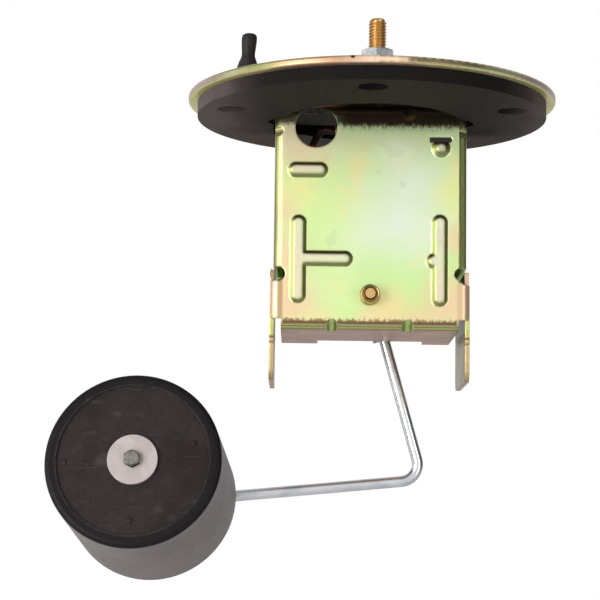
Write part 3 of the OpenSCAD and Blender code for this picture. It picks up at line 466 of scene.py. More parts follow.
def gloss(tree, fine, low, high):
    """Roughness that varies with the grain."""
    return ramp(tree, fine, 0.3, 0.7, low, high)


# Colours that more than one finish or place uses

LIME = rgb(204, 240, 150)
CREAM = rgb(244, 232, 158)
LILAC = rgb(236, 242, 228)
PEACH = rgb(246, 208, 172)
STEEL = rgb(196, 198, 200)
STEEL_DARK = rgb(150, 152, 156)

# Patches of tint on the bracket's plate: (x, z) and radius in metres, amount, colour
PLATE_PATCHES = (
    ((0.0060, -0.0056), 0.0070, 0.9, rgb(252, 255, 222)),
    ((0.006, -0.023), 0.0190, 0.90, LILAC),
    ((0.010, -0.012), 0.0110, 0.60, LILAC),
    ((-0.009, -0.019), 0.0120, 0.6, rgb(222, 246, 164)),
    ((0.004, -0.036), 0.0130, 0.6, rgb(210, 242, 156)),
    ((-0.0160, -0.016), 0.0070, 0.7, rgb(250, 240, 158)),
    ((0.0180, -0.016), 0.0070, 0.8, rgb(240, 238, 160)),
    ((-0.0195, -0.030), 0.0090, 0.95, PEACH),
    ((-0.0195, -0.020), 0.0060, 0.8, PEACH),
    ((-0.0175, -0.040), 0.0100, 0.9, PEACH),
    ((-0.0155, -0.005), 0.0095, 0.9, rgb(248, 206, 160)),
    ((0.0195, -0.026), 0.0060, 0.9, PEACH),
    ((0.0175, -0.040), 0.0110, 0.95, PEACH),
    ((0.0040, -0.0415), 0.0075, 0.8, rgb(250, 218, 164)),
    ((0.0100, -0.0455), 0.0080, 0.8, PEACH),
    ((0.0000, -0.0460), 0.0070, 0.9, rgb(248, 216, 172)),
    ((-0.0100, -0.0460), 0.0070, 0.7, rgb(248, 222, 164)))

# Painted reflections round the bends, light and dark stripes: place round the bend from 0 to 1, and colour
SIDE_BEND_REFLECTIONS = (
    (0.02, rgb(140, 130, 112)), (0.10, rgb(130, 132, 84)), (0.18, rgb(176, 180, 112)),
    (0.27, rgb(206, 210, 146)), (0.34, rgb(134, 134, 78)), (0.42, rgb(232, 206, 174)),
    (0.56, rgb(128, 128, 66)), (0.63, rgb(60, 62, 26)), (0.72, rgb(118, 128, 76)),
    (0.82, rgb(178, 188, 126)), (0.91, rgb(94, 98, 54)), (0.98, rgb(150, 132, 118)))
# painted reflections on the bends above and below the plate
LEVEL_BEND_REFLECTIONS = (
    (0.12, rgb(104, 80, 46)), (0.26, rgb(112, 88, 52)), (0.40, rgb(206, 192, 156)),
    (0.56, rgb(190, 192, 128)), (0.68, rgb(92, 116, 52)), (0.78, rgb(184, 194, 124)),
    (0.92, rgb(146, 126, 88)), (1.0, rgb(176, 142, 124)))

# Painted shadow of the gasket on the strip of the plate under it, from its lower edge up
GASKET_SHADOW_STRIP = (
    (0.0, rgb(230, 252, 190)), (0.36, rgb(226, 248, 188)), (0.56, rgb(204, 220, 168)),
    (0.72, rgb(134, 130, 98)), (0.86, rgb(56, 46, 28)), (1.0, rgb(30, 24, 14)))

# Front edges of the ears, from their lower ends up
EAR_EDGE = (
    (0.0, rgb(188, 166, 118)), (0.40, rgb(210, 184, 130)), (0.50, rgb(190, 200, 108)),
    (0.60, rgb(206, 208, 132)), (0.78, rgb(232, 202, 172)), (1.0, rgb(230, 196, 166)))

# Painted light, shade and reflections on the sides of the beads: the axis they face, from and to which
# value, and colour
BEAD_SIDE_SHADING = (
    ("X", -0.08, -0.50, rgb(186, 196, 120)), ("X", 0.06, 0.48, rgb(108, 116, 64)),
    ("Z", -0.06, -0.48, rgb(124, 134, 80)), ("Z", 0.08, 0.48, rgb(70, 58, 30)))

# Rim of the disc, from its left end to its right end: plating tints with painted light and shade
DISC_R = 0.04
RIM_TINTS_AND_SHADING = (
    (0.0, rgb(186, 162, 154)), (0.04, rgb(160, 158, 124)), (0.10, rgb(158, 162, 104)),
    (0.18, rgb(188, 178, 122)), (0.30, rgb(172, 136, 104)), (0.40, rgb(214, 180, 146)),
    (0.48, rgb(250, 218, 190)), (0.56, rgb(255, 224, 190)), (0.62, rgb(214, 190, 146)),
    (0.76, rgb(196, 178, 128)), (0.88, rgb(218, 230, 168)), (0.98, rgb(188, 166, 156)))


# Finishes that several pieces share

def metal(name, colour, other, rough=0.3, metallic=1.0, grain=2500.0, drift=120.0, scratch=0.4, bump=0.12):
    """Plain metal with drift of colour, grain, scratches and rubbed edges."""
    material, tree, shader = surface(name)
    where = bearings(tree)[0]
    paint = use(tree, DRIFT, Vector=where, Scale=drift, First=colour, Second=other, Third=colour)
    fine = use(tree, GRAIN, Vector=where, Scale=grain)
    marks = use(tree, SCRATCHES, Vector=where, Scale=260.0, Amount=scratch)
    rubbed = use(tree, EDGE_RUB_AND_GLINT, Radius=0.0003, Vector=where)
    pale = tuple(min(1.0, part * 1.35 + 0.03) for part in colour[:3]) + (1,)
    dull = tuple(part * 0.55 for part in colour[:3]) + (1,)
    paint = cover(tree, paint, rubbed, pale, 0.6)
    paint = cover(tree, paint, marks, dull, 0.6)
    level = maths(tree, "ADD", gloss(tree, fine, rough - 0.06, rough + 0.08), times(tree, marks, 0.15),
                  clamp=True)
    shader.inputs["Metallic"].default_value = metallic
    join(tree, shader, paint, level, fine, bump, 0.00005)
    return material


def resin(name, colour, other, rough=0.45, layers=0.0):
    """Pressed board or moulded resin; layers gives the lines of a laminate."""
    material, tree, shader = surface(name)
    where = bearings(tree)[0]
    fine = use(tree, GRAIN, Vector=where, Scale=1800.0)
    paint = use(tree, DRIFT, Vector=where, Scale=150.0, First=colour, Second=other, Third=colour)
    if layers:
        sheets = put(tree, "ShaderNodeTexWave", {"Vector": where, "Scale": layers, "Distortion": 1.5},
                     bands_direction="Y").outputs[1]
        paint = cover(tree, paint, sheets, other, 0.35)
    rubbed = use(tree, EDGE_RUB_AND_GLINT, Radius=0.0003, Vector=where)
    paint = cover(tree, paint, rubbed, other, 0.4)
    join(tree, shader, paint, gloss(tree, fine, rough - 0.08, rough + 0.12), fine, 0.2, 0.00006)
    return material


# Rubber and the lead

def boot_rubber():
    """Soft black rubber with a little dust in its grain."""
    material, tree, shader = surface("boot_rubber_finish")
    black, dusty = rgb(34, 31, 31), rgb(62, 58, 57)
    where = bearings(tree)[0]
    fine = use(tree, GRAIN, Vector=where, Scale=1500.0)
    paint = use(tree, DRIFT, Vector=where, Scale=90.0, First=black, Second=black, Third=dusty)
    paint = cover(tree, paint, ramp(tree, fine, 0.55, 0.75), dusty, 0.25)
    paint = cover(tree, paint, use(tree, EDGE_RUB_AND_GLINT, Radius=0.0004, Vector=where), dusty, 0.5)
    shader.inputs["Specular IOR Level"].default_value = 0.22
    join(tree, shader, paint, gloss(tree, fine, 0.42, 0.62), fine, 0.35, 0.00008)
    return material


def gasket_rubber():
    """Black sheet rubber, near black in front, painted paler towards both ends as sheen, with painted shade
    on its side wall near the middle.
    """
    material, tree, shader = surface("gasket_rubber_finish")
    where, spot, facing = bearings(tree)
    fine = use(tree, GRAIN, Vector=where, Scale=1300.0)
    # painted sheen: the rubber grows paler with the distance from the middle
    aside = size_of(tree, maths(tree, "SUBTRACT", spot["X"], 0.002))
    aside = shaken(tree, aside, cloud(tree, where, 70.0), 0.010)
    paint = bands(tree, ramp(tree, aside, 0.014, 0.040), (
        (0.0, rgb(27, 20, 19)), (0.35, rgb(38, 31, 30)), (0.70, rgb(62, 54, 54)), (1.0, rgb(88, 80, 80))))
    paint = cover(tree, paint, ramp(tree, spot["Y"], 0.012, 0.020), rgb(74, 64, 58))
    side = ramp(tree, size_of(tree, facing["Z"]), 0.7, 0.3)
    # painted shade on the side wall near the middle
    paint = cover(tree, paint, times(tree, side, ramp(tree, aside, 0.034, 0.020)), rgb(20, 17, 17))
    paint = cover(tree, paint, ramp(tree, fine, 0.58, 0.75), rgb(78, 72, 68), 0.22)
    paint = cover(tree, paint, use(tree, EDGE_RUB_AND_GLINT, Radius=0.0004, Vector=where), rgb(74, 68, 66), 0.25)
    shader.inputs["Specular IOR Level"].default_value = 0.10
    join(tree, shader, paint, gloss(tree, fine, 0.66, 0.82), fine, 0.12, 0.00008)
    return material


def lead_red():
    """Red insulation of the lead, with painted shade where it turns up to the eyelet."""
    material, tree, shader = surface("lead_red_finish")
    where, spot, _ = bearings(tree)
    fine = use(tree, GRAIN, Vector=where, Scale=1500.0)
    paint = use(tree, DRIFT, Vector=where, Scale=90.0, First=rgb(236, 34, 24), Second=rgb(210, 24, 20),
                Third=rgb(224, 62, 50))
    # painted shade: near black where the lead turns up into the dark
    paint = cover(tree, paint, ramp(tree, spot["Z"], -0.0050, -0.0036), rgb(34, 6, 6))
    paint = cover(tree, paint, use(tree, EDGE_RUB_AND_GLINT, Radius=0.0004, Vector=where), rgb(190, 70, 60), 0.2)
    shader.inputs["Specular IOR Level"].default_value = 0.25
    join(tree, shader, paint, gloss(tree, fine, 0.42, 0.56), fine, 0.10, 0.00008)
    return material


def along_float(tree):
    """Coordinates in metres with Z along the float from its rear corner."""
    coords = put(tree, "ShaderNodeTexCoord").outputs["Object"]
    turn = FLOAT_DIR.to_track_quat("Z", "Y").to_matrix().to_euler()
    return put(tree, "ShaderNodeMapping", {"Vector": coords, "Location": tuple(FLOAT_CORNER * MM),
                                           "Rotation": tuple(turn)}, vector_type="TEXTURE").outputs[0]


def float_face(tree, local, reach):
    """Dark moulded skin of the float's ends, smeared and with faint curled lines."""
    skin, dark = rgb(46, 38, 39), rgb(37, 30, 31)
    paint = use(tree, DRIFT, Vector=local, Scale=70.0, First=skin, Second=dark, Third=skin)
    smear = cloud(tree, stretched(tree, local, (1, 2.2, 1)), 120.0, 4.0, 0.6, 1.4)
    paint = cover(tree, paint, ramp(tree, smear, 0.60, 0.70, 0.0, 0.35), rgb(66, 61, 61))
    curl = cloud(tree, local, 170.0, 2.0, 0.5, 2.2)
    line = times(tree, ramp(tree, curl, 0.47, 0.50), ramp(tree, curl, 0.53, 0.50))
    paint = cover(tree, paint, line, rgb(20, 17, 17), 0.35)
    lip = ramp(tree, reach, 0.0160, 0.0168)
    return cover(tree, paint, lip, rgb(20, 17, 18), 0.9)


def float_wall_sheen(tree, local):
    """Paler grey skin of the float's round wall, a painted sheen, with faint rings."""
    rings = cloud(tree, stretched(tree, local, (1, 1, 9)), 150.0, 2.0)
    skin = cover(tree, rgb(116, 108, 109), ramp(tree, rings, 0.62, 0.72, 0.0, 0.6), rgb(66, 58, 60))
    soft = cloud(tree, local, 60.0, 2.0)
    return cover(tree, skin, ramp(tree, soft, 0.4, 0.65, 0.0, 0.5), rgb(132, 124, 124))


def float_rubber():
    """Closed-cell rubber float: dark moulded faces and a round wall painted paler as sheen, with faint
    marks.
    """
    material, tree, shader = surface("float_black_finish")
    local = along_float(tree)
    spot = axes(tree, local)
    across = put(tree, "ShaderNodeCombineXYZ", {"X": spot["X"], "Y": spot["Y"]}).outputs[0]
    reach = put(tree, "ShaderNodeVectorMath", {0: across}, operation="LENGTH").outputs["Value"]
    outer = ramp(tree, reach, 0.01835, 0.01865)
    front = (FLOAT_START + FLOAT_LONG) * MM
    behind = ramp(tree, spot["Z"], front - 0.0008, front - 0.0013)
    # the round wall takes a paler grey that stands for its sheen
    paint = cover(tree, float_face(tree, local, reach), times(tree, behind, outer), float_wall_sheen(tree, local))
    fine = use(tree, GRAIN, Vector=local, Scale=1500.0)
    marks = use(tree, SCRATCHES, Vector=local, Scale=150.0, Amount=0.6)
    paint = cover(tree, paint, marks, rgb(120, 114, 114), 0.18)
    paint = cover(tree, paint, use(tree, EDGE_RUB_AND_GLINT, Radius=0.0005, Vector=local), rgb(110, 106, 106), 0.30)
    level = maths(tree, "ADD", gloss(tree, fine, 0.42, 0.54), times(tree, marks, 0.1))
    shader.inputs["Specular IOR Level"].default_value = 0.12
    join(tree, shader, paint, level, fine, 0.12, 0.00008)
    return material


# Plating of the bracket, each function one part of it

def bend_mask(tree, tilt):
    """1 on a face that is neither flat to its axis nor square on to it."""
    return times(tree, ramp(tree, tilt, 0.06, 0.16), ramp(tree, tilt, 0.985, 0.93))


def plate_patches(tree, where, paint):
    """The large patches of tint on the front plate."""
    wander = cloud(tree, where, 130.0, 3.0, 0.6)
    for (x, z), radius, amount, colour in PLATE_PATCHES:
        ragged = ramp(tree, wander, 0.25, 0.6, 0.7, 1.0)
        patch = times(tree, spread(tree, where, (x, 0, z), radius), ragged)
        paint = cover(tree, paint, patch, colour, amount)
    return paint


def plate_top_light_and_shadow(tree, spot, height, paint):
    """Painted light on the top of the plate, and a speckled painted shadow that darkens up to the gasket.
    """
    # painted light: the top of the front plate made paler against the gasket's shade
    pale = times(tree, ramp(tree, spot["Z"], -0.014, -0.003), ramp(tree, spot["Y"], 0.0015, 0.0008))
    light = blend(tree, ramp(tree, spot["X"], -0.010, -0.002), rgb(255, 250, 212), rgb(240, 255, 208))
    paint = cover(tree, paint, pale, light, 0.6)
    # painted shadow of the gasket, speckled, darkening up to it
    near = times(tree, ramp(tree, height, -0.0046, -0.0024), ramp(tree, spot["X"], -0.0085, -0.0050),
                 ramp(tree, spot["Y"], 0.004, 0.0015))
    return cover(tree, paint, near, bands(tree, ramp(tree, height, -0.0050, 0.0010), GASKET_SHADOW_STRIP))


def side_bend_reflections(tree, where, facing, paint):
    """Bends beside the plate, painted reflections: light stripes on the left one, dark stripes on the right
    one.
    """
    sway = cloud(tree, stretched(tree, where, (0.2, 0.2, 1)), 110.0, 2.0)
    round_bend = shaken(tree, maths(tree, "MULTIPLY_ADD", facing["X"], 0.5, 0.5), sway, 0.22)
    return cover(tree, paint, bend_mask(tree, size_of(tree, facing["X"])),
                 bands(tree, round_bend, SIDE_BEND_REFLECTIONS))


def level_bend_reflections(tree, facing, speck, paint):
    """Bends above and below the plate, with painted reflections in stripes."""
    level = size_of(tree, facing["Z"])
    stripes = bands(tree, maths(tree, "ADD", level, times(tree, speck, 0.12)), LEVEL_BEND_REFLECTIONS)
    return cover(tree, paint, bend_mask(tree, level), stripes)


def plate_stains_and_shade(tree, where, spot, facing, speck, height, paint):
    """Ragged brown stain along the lower bend, painted shade under the gasket, and one small yellow-brown
    spot.
    """
    low = shaken(tree, spot["Z"], speck, 0.0032)
    stain = times(tree, ramp(tree, low, -0.0436, -0.0444), ramp(tree, facing["Y"], -0.80, -0.98))
    paint = cover(tree, paint, stain, rgb(112, 84, 52), 0.85)
    # painted shade of the gasket: near black on the top of the plate
    top = times(tree, ramp(tree, height, -0.0016, -0.0004), ramp(tree, spot["Y"], 0.004, 0.0015))
    paint = cover(tree, paint, top, rgb(46, 38, 24), 0.9)
    fleck = spread(tree, where, (0.0084, 0.0, 0.0012), 0.0016)
    return cover(tree, paint, fleck, rgb(150, 122, 60), 0.7)


def ear_joints(tree, spot, facing, aside, paint):
    """Joints of the ears: plain peach, not striped, and painted darker on the left as shade."""
    joint = times(tree, ramp(tree, spot["Z"], -0.0352, -0.0358), ramp(tree, spot["Z"], -0.0452, -0.0448),
                  ramp(tree, aside, 0.0186, 0.0192), ramp(tree, facing["Y"], -0.25, -0.50))
    # darker peach on the left: painted shade against the lamp's highlight
    peach = blend(tree, ramp(tree, spot["X"], 0.0, -0.010), rgb(226, 192, 154), rgb(190, 158, 120))
    return cover(tree, paint, joint, peach, 0.9)


def raised_bead_shading(tree, spot, paint):
    """The raised beads, painted with light and shade: a painted highlight on top, painted reflections dark
    above, light to the left, olive to the right and below.
    """
    wide = put(tree, "ShaderNodeBevel", {"Radius": 0.0014}, samples=10).outputs[0]
    facing = axes(tree, wide)
    # painted highlight on the crest of the bead
    bead = blend(tree, 0.6, paint, rgb(238, 226, 206))
    for way, low, high, colour in BEAD_SIDE_SHADING:
        bead = cover(tree, bead, ramp(tree, facing[way], low, high), colour)
    return cover(tree, paint, ramp(tree, spot["Y"], -0.00002, -0.00010), bead)


def bottom_flange(tree, where, spot, facing, paint):
    """Dull pink under the bottom flange."""
    under = times(tree, ramp(tree, facing["Z"], -0.90, -0.98), ramp(tree, spot["Z"], -0.044, -0.045))
    return cover(tree, paint, under, use(tree, DRIFT, Vector=where, Scale=60.0, First=rgb(184, 144, 126),
                                         Second=rgb(196, 158, 130), Third=rgb(168, 132, 116)))


def ear_faces(tree, where, spot, facing, aside, paint):
    """The ears: peach on their front edges, dull inside, with painted shade on the inner faces above the
    flange.
    """
    lower = ramp(tree, spot["Z"], -0.0328, -0.0334)
    front = times(tree, lower, ramp(tree, aside, 0.0203, 0.0205), ramp(tree, facing["Y"], -0.5, -0.9))
    paint = cover(tree, paint, front, bands(tree, ramp(tree, spot["Z"], -0.058, -0.034), EAR_EDGE))
    inner = times(tree, lower, ramp(tree, aside, 0.0214, 0.0211),
                  ramp(tree, size_of(tree, facing["X"]), 0.9, 0.98))
    dull = use(tree, DRIFT, Vector=where, Scale=60.0, First=rgb(140, 130, 100), Second=rgb(158, 144, 114),
               Third=rgb(118, 108, 82))
    # painted shade: the inner faces dark above the level of the bottom flange
    dull = cover(tree, dull, ramp(tree, spot["Z"], -0.0462, -0.0448), rgb(44, 30, 22))
    return cover(tree, paint, inner, dull)


def side_walls(tree, where, facing, aside, paint):
    """Lime and peach on the outside of the walls."""
    flank = times(tree, ramp(tree, size_of(tree, facing["X"]), 0.97, 0.995),
                  ramp(tree, aside, 0.0207, 0.0209))
    return cover(tree, paint, flank, use(tree, DRIFT, Vector=where, Scale=46.0, First=rgb(196, 204, 140),
                                         Second=rgb(212, 196, 156), Third=rgb(186, 200, 150)))


def bracket_zinc():
    """Passivated zinc on the pressed bracket: lime to lilac in the middle, peach to the edges."""
    material, tree, shader = surface("bracket_zinc_finish")
    where, spot, facing = bearings(tree)
    aside = size_of(tree, spot["X"])
    speck = cloud(tree, stretched(tree, where, (1, 1, 0.6)), 1300.0, 4.0, 0.7)
    height = shaken(tree, spot["Z"], speck, 0.0030)
    paint = use(tree, DRIFT, Vector=where, Scale=38.0, First=LIME, Second=rgb(220, 242, 172), Third=CREAM)
    paint = plate_patches(tree, where, paint)
    paint = plate_top_light_and_shadow(tree, spot, height, paint)
    paint = side_bend_reflections(tree, where, facing, paint)
    paint = level_bend_reflections(tree, facing, speck, paint)
    paint = plate_stains_and_shade(tree, where, spot, facing, speck, height, paint)
    paint = ear_joints(tree, spot, facing, aside, paint)
    paint = raised_bead_shading(tree, spot, paint)
    paint = bottom_flange(tree, where, spot, facing, paint)
    paint = ear_faces(tree, where, spot, facing, aside, paint)
    # painted shade: inside, under the roof and deep behind the window, the metal is painted dark and made
    # dull
    roof = times(tree, ramp(tree, facing["Z"], -0.50, -0.80), ramp(tree, spot["Z"], -0.002, 0.0))
    deep = times(tree, ramp(tree, spot["Y"], 0.0012, 0.0018), ramp(tree, spot["Z"], -0.012, -0.006),
                 ramp(tree, aside, 0.0206, 0.0202))
    paint = cover(tree, paint, roof, rgb(16, 13, 10))
    paint = side_walls(tree, where, facing, aside, paint)
    paint = cover(tree, paint, deep, rgb(40, 34, 24))
    shade = maths(tree, "MAXIMUM", roof, deep)
    fine = use(tree, GRAIN, Vector=where, Scale=2200.0)
    marks = use(tree, SCRATCHES, Vector=where, Scale=210.0, Amount=0.5)
    paint = cover(tree, paint, marks, rgb(140, 142, 130), 0.30)
    paint = cover(tree, paint, use(tree, EDGE_RUB_AND_GLINT, Radius=0.0003, Vector=where), rgb(250, 250, 226), 0.15)
    rough = maths(tree, "ADD", gloss(tree, fine, 0.30, 0.42), times(tree, marks, 0.1))
    rough = maths(tree, "ADD", rough, times(tree, shade, 0.5))
    tree.links.new(ramp(tree, shade, 0.0, 1.0, 0.72, 0.0), shader.inputs["Metallic"])
    softened = put(tree, "ShaderNodeBevel", {"Radius": 0.0005}, samples=6).outputs[0]
    join(tree, shader, paint, rough, fine, 0.08, 0.00005, softened)
    return material


# Plating of the disc

def rim_shadow(tree, spot, along, rim, paint):
    """The dark stretch of the rim's upper edge, right of its middle."""
    dark = times(tree, ramp(tree, along, 0.0052, 0.0072), ramp(tree, along, 0.030, 0.018),
                 ramp(tree, spot["Z"], 0.0031, 0.0037))
    return cover(tree, paint, times(tree, dark, times(tree, rim, 0.85)), rgb(70, 66, 44))


def disc_zinc():
    """Passivated zinc on the mounting disc: peach in front on the rim, olive and lime to both sides,
    painted shade under it inside the gasket, and painted highlights on its edges.
    """
    material, tree, shader = surface("disc_zinc_finish")
    where, spot, facing = bearings(tree)
    face = use(tree, DRIFT, Vector=where, Scale=34.0, First=rgb(228, 224, 150), Second=rgb(244, 220, 172),
               Third=rgb(204, 222, 140))
    streak = cloud(tree, stretched(tree, where, (1, 1, 0.05)), 700.0, 3.0, 0.6)
    along = shaken(tree, spot["X"], streak, 0.004)
    front = times(tree, ramp(tree, along, -0.023, -0.017), ramp(tree, along, 0.012, 0.006))
    face = cover(tree, face, front, rgb(208, 168, 142), 0.85)
    rim = ramp(tree, size_of(tree, facing["Z"]), 0.9, 0.6)
    paint = cover(tree, face, rim, bands(tree, ramp(tree, along, -DISC_R, DISC_R), RIM_TINTS_AND_SHADING))
    paint = rim_shadow(tree, spot, along, rim, paint)
    nick = spread(tree, where, (-0.0052, -0.0397, 0.0044), 0.0009)
    paint = cover(tree, paint, ramp(tree, nick, 0.2, 0.6), rgb(40, 30, 22))
    # painted shade: the disc's underside near black inside the gasket's opening
    hollow_shade = times(tree, spread(tree, where, (0, 0.003, 0.0030), 0.026),
                   ramp(tree, facing["Z"], -0.85, -0.98))
    paint = cover(tree, paint, ramp(tree, hollow_shade, 0.05, 0.2),
                  use(tree, DRIFT, Vector=where, Scale=120.0, First=rgb(26, 21, 15),
                      Second=rgb(36, 30, 20), Third=rgb(20, 17, 12)))
    paint = cover(tree, paint, ramp(tree, streak, 0.55, 0.72, 0.0, 0.40), rgb(150, 128, 84))
    fine = use(tree, GRAIN, Vector=where, Scale=2200.0)
    marks = use(tree, SCRATCHES, Vector=where, Scale=190.0, Amount=0.5)
    paint = cover(tree, paint, marks, rgb(150, 140, 110), 0.4)
    # painted highlight along the edges
    paint = cover(tree, paint, use(tree, EDGE_RUB_AND_GLINT, Radius=0.0004, Vector=where), rgb(255, 240, 216), 0.5)
    # painted shade: brown laid over the left of the front to dim a highlight
    left = times(tree, ramp(tree, along, -0.024, -0.018), ramp(tree, along, -0.004, -0.010))
    paint = cover(tree, paint, left, rgb(176, 140, 112), 0.7)
    level = maths(tree, "ADD", gloss(tree, fine, 0.28, 0.40), times(tree, marks, 0.1))
    shader.inputs["Metallic"].default_value = 0.70
    join(tree, shader, paint, level, fine, 0.10, 0.00006)
    return material


# Wires

def wire_zinc():
    """Bright zinc on the bent wire, dull where its end is peened over the float's washer, with painted
    shade under that end.
    """
    material, tree, shader = surface("wire_zinc_finish")
    where, spot, facing = bearings(tree)
    bright = rgb(224, 226, 229)
    paint = use(tree, DRIFT, Vector=where, Scale=120.0, First=bright, Second=rgb(206, 209, 213),
                Third=bright)
    fine = use(tree, GRAIN, Vector=where, Scale=2500.0)
    marks = use(tree, SCRATCHES, Vector=where, Scale=260.0, Amount=0.3)
    paint = cover(tree, paint, marks, rgb(120, 124, 128), 0.6)
    peened = ramp(tree, spot["Y"], 0.000, -0.004)
    struck = blend(tree, ramp(tree, cloud(tree, where, 900.0, 3.0, 0.6), 0.4, 0.65),
                   rgb(118, 114, 110), rgb(142, 138, 134))
    # painted shade on the underside of the peened end
    struck = cover(tree, struck, ramp(tree, facing["Z"], -0.1, -0.6), rgb(40, 36, 34))
    paint = cover(tree, paint, peened, struck)
    level = maths(tree, "ADD", gloss(tree, fine, 0.27, 0.32), times(tree, peened, 0.35))
    level = maths(tree, "ADD", level, times(tree, marks, 0.15), clamp=True)
    shader.inputs["Metallic"].default_value = 1.0
    join(tree, shader, paint, level)
    return material


def winding_wire():
    """Fine resistance wire laid turn beside turn along the arc."""
    material, tree, shader = surface("winding_wire_finish")
    coords = put(tree, "ShaderNodeTexCoord").outputs["Object"]
    where = put(tree, "ShaderNodeMapping", {"Vector": coords,
                                            "Location": (0, 0, -PIVOT_Z * MM)}).outputs[0]
    spot = axes(tree, where)
    angle = maths(tree, "ARCTAN2", spot["X"], spot["Z"])
    turns = maths(tree, "SINE", times(tree, angle, 520.0))
    fine = use(tree, GRAIN, Vector=where, Scale=1500.0)
    paint = blend(tree, ramp(tree, turns, -1.0, 0.6), rgb(70, 58, 46), rgb(190, 176, 160))
    paint = cover(tree, paint, ramp(tree, fine, 0.5, 0.75, 0.0, 0.4), rgb(120, 96, 72))
    shader.inputs["Metallic"].default_value = 1.0
    join(tree, shader, paint, gloss(tree, fine, 0.28, 0.42), turns, 0.8, 0.00008)
    return material


def make_finishes():
    """One finish for each material slot of the record."""
    return {
        "disc_zinc": disc_zinc(),
        "gasket_rubber": gasket_rubber(),
        "bracket_zinc": bracket_zinc(),
        # the bush: a darker brass than the stud, partly its own tone and partly painted shade
        "bush_brass": metal("bush_brass_finish", rgb(176, 150, 100), rgb(140, 112, 66), 0.30),
        "stud_brass": metal("stud_brass_finish", rgb(206, 168, 110), rgb(216, 182, 126), 0.36,
                            scratch=0.25),
        "tinned_brass": metal("tinned_brass_finish", rgb(206, 202, 190), rgb(176, 166, 140), 0.38),
        "leaf_bronze": metal("leaf_bronze_finish", rgb(206, 150, 96), rgb(184, 124, 76), 0.28),
        "contact_silver": metal("contact_silver_finish", rgb(224, 222, 216), rgb(196, 190, 180), 0.22),
        "board_resin": resin("board_resin_finish", rgb(120, 74, 40), rgb(92, 54, 28), 0.42, 900.0),
        "former_resin": resin("former_resin_finish", rgb(60, 46, 34), rgb(84, 64, 44), 0.45, 700.0),
        "winding_wire": winding_wire(),
        "insulator_resin": resin("insulator_resin_finish", rgb(58, 50, 46), rgb(86, 74, 66), 0.5),
        "plated_steel": metal("plated_steel_finish", STEEL, STEEL_DARK, 0.26, grain=1200.0, bump=0.03),
        "spring_steel": metal("spring_steel_finish", rgb(150, 150, 152), rgb(110, 110, 116), 0.34),
        "wire_zinc": wire_zinc(),
        "washer_matt": metal("washer_matt_finish", rgb(186, 176, 173), rgb(176, 165, 162), 0.62, 0.55,
                             grain=3800.0, drift=160.0, scratch=0.25, bump=0.3),
        "lead_red": lead_red(),
        "boot_rubber": boot_rubber(),
        "float_black": float_rubber(),
    }


def dress_nodes(finishes):
    """Gives each CAD node the finish of its slot."""
    slots = {}
    for part in frame["record"]["subparts"]:
        slots[part["node"]] = part["material_slot"]
    for name, piece in frame["nodes"].items():
        finish = finishes[slots[name]]
        if not piece.material_slots:
            piece.data.materials.append(finish)
        for socket in piece.material_slots:
            socket.material = finish


# Studio

def make_camera():
    """The photograph's view: a little below the disc, from a little under half a metre."""
    lens = bpy.data.cameras.new("camera")
    lens.lens = LENS_LONG
    lens.sensor_width = LENS_WIDE
    lens.clip_start = 0.01
    lens.clip_end = 50
    camera = bpy.data.objects.new("camera", lens)
    bpy.context.scene.collection.objects.link(camera)
    tilt = Matrix.Rotation(math.pi / 2 + CAMERA_TILT, 4, "X") @ Matrix.Rotation(CAMERA_ROLL, 4, "Z")
    camera.matrix_world = Matrix.Translation(CAMERA_AT) @ tilt
    bpy.context.scene.camera = camera


def make_floor():
    """A pale floor well under the float."""
    bm = bmesh.new()
    bmesh.ops.create_grid(bm, x_segments=1, y_segments=1, size=FLOOR_HALF)
    bmesh.ops.translate(bm, vec=FLOOR_AT, verts=bm.verts[:])
    mesh = bpy.data.meshes.new("floor")
    bm.to_mesh(mesh)
    bm.free()
    floor = bpy.data.objects.new("floor", mesh)
    bpy.context.scene.collection.objects.link(floor)
    material, tree, shader = surface("floor_paper")
    fine = use(tree, GRAIN, Vector=bearings(tree)[0], Scale=300.0)
    join(tree, shader, blend(tree, fine, rgb(236, 236, 236), rgb(242, 242, 242)),
         gloss(tree, fine, 0.7, 0.85))
    floor.data.materials.append(material)


def make_lamp(name, place_at, aim_at, size, power):
    """A soft square lamp."""
    lamp = bpy.data.lights.new(name, "AREA")
    lamp.shape = "RECTANGLE"
    lamp.size, lamp.size_y = size
    lamp.energy = power
    lamp.use_shadow = True
    holder = bpy.data.objects.new(name, lamp)
    aim = (Vector(aim_at) - Vector(place_at)).to_track_quat("-Z", "Y")
    holder.matrix_world = Matrix.Translation(place_at) @ aim.to_matrix().to_4x4()
    bpy.context.scene.collection.objects.link(holder)


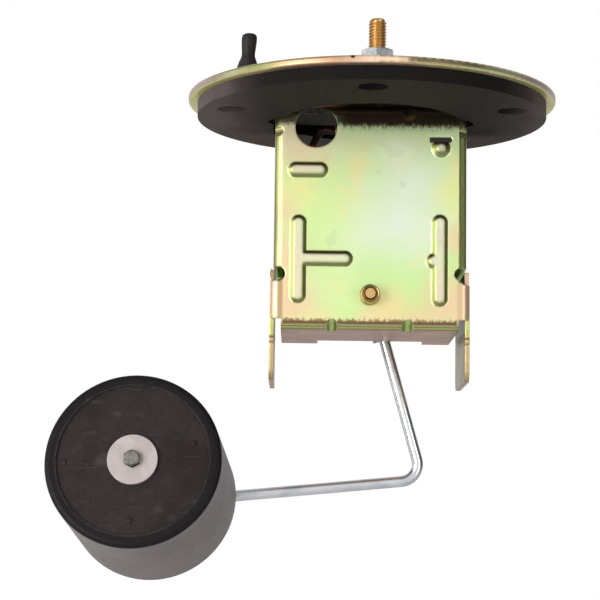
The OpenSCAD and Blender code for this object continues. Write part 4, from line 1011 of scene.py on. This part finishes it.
def mirrored_room(tree, way):
    """What bare metal mirrors: bright in front, behind, above and at the left, dim at the right."""
    front = ramp(tree, way["Y"], -0.2, -0.95, 0.22, 0.85)
    back = ramp(tree, way["Y"], 0.1, 0.7, 0.0, 0.75)
    above = ramp(tree, way["Z"], 0.45, 0.95, 0.0, 0.6)
    right = ramp(tree, way["X"], 0.4, 0.85, 1.0, 0.35)
    left = times(tree, ramp(tree, way["X"], -0.55, -0.85, 0.0, 0.75), ramp(tree, way["Y"], 0.1, -0.3))
    most = maths(tree, "MAXIMUM", maths(tree, "MAXIMUM", front, back), above)
    return maths(tree, "MAXIMUM", times(tree, most, right), left)


def make_world():
    """White to the camera, a plain soft room to everything else."""
    world = bpy.data.worlds.new("room")
    bpy.context.scene.world = world
    world.use_nodes = True
    tree = world.node_tree
    tree.nodes.clear()
    rays = put(tree, "ShaderNodeLightPath").outputs
    shown = mirrored_room(tree, axes(tree, put(tree, "ShaderNodeTexCoord").outputs["Generated"]))
    soft = put(tree, "ShaderNodeMix", {0: rays["Is Glossy Ray"], 2: 0.50, 3: shown},
               data_type="FLOAT").outputs[0]
    white = maths(tree, "MAXIMUM", rays["Is Camera Ray"], rays["Is Transmission Ray"])
    strength = put(tree, "ShaderNodeMix", {0: white, 2: soft, 3: 1.0}, data_type="FLOAT").outputs[0]
    room = put(tree, "ShaderNodeBackground", {"Color": (1, 1, 1, 1), "Strength": strength})
    out = put(tree, "ShaderNodeOutputWorld")
    tree.links.new(room.outputs[0], out.inputs["Surface"])


def make_studio():
    """Camera, floor, room and lamps."""
    make_camera()
    make_floor()
    make_world()
    for lamp in LAMPS:
        make_lamp(*lamp)
    bpy.context.scene.view_settings.view_transform = "Standard"


def make_pieces(finishes):
    """The pieces that stand for plain nodes or lie on them."""
    threaded_stud(finishes["stud_brass"])
    wrinkled_boot(finishes["boot_rubber"])
    float_pips(finishes["float_black"])
    flared_bush(finishes["bush_brass"])


FINISHES = make_finishes()
dress_nodes(FINISHES)
make_studio()
make_pieces(FINISHES)
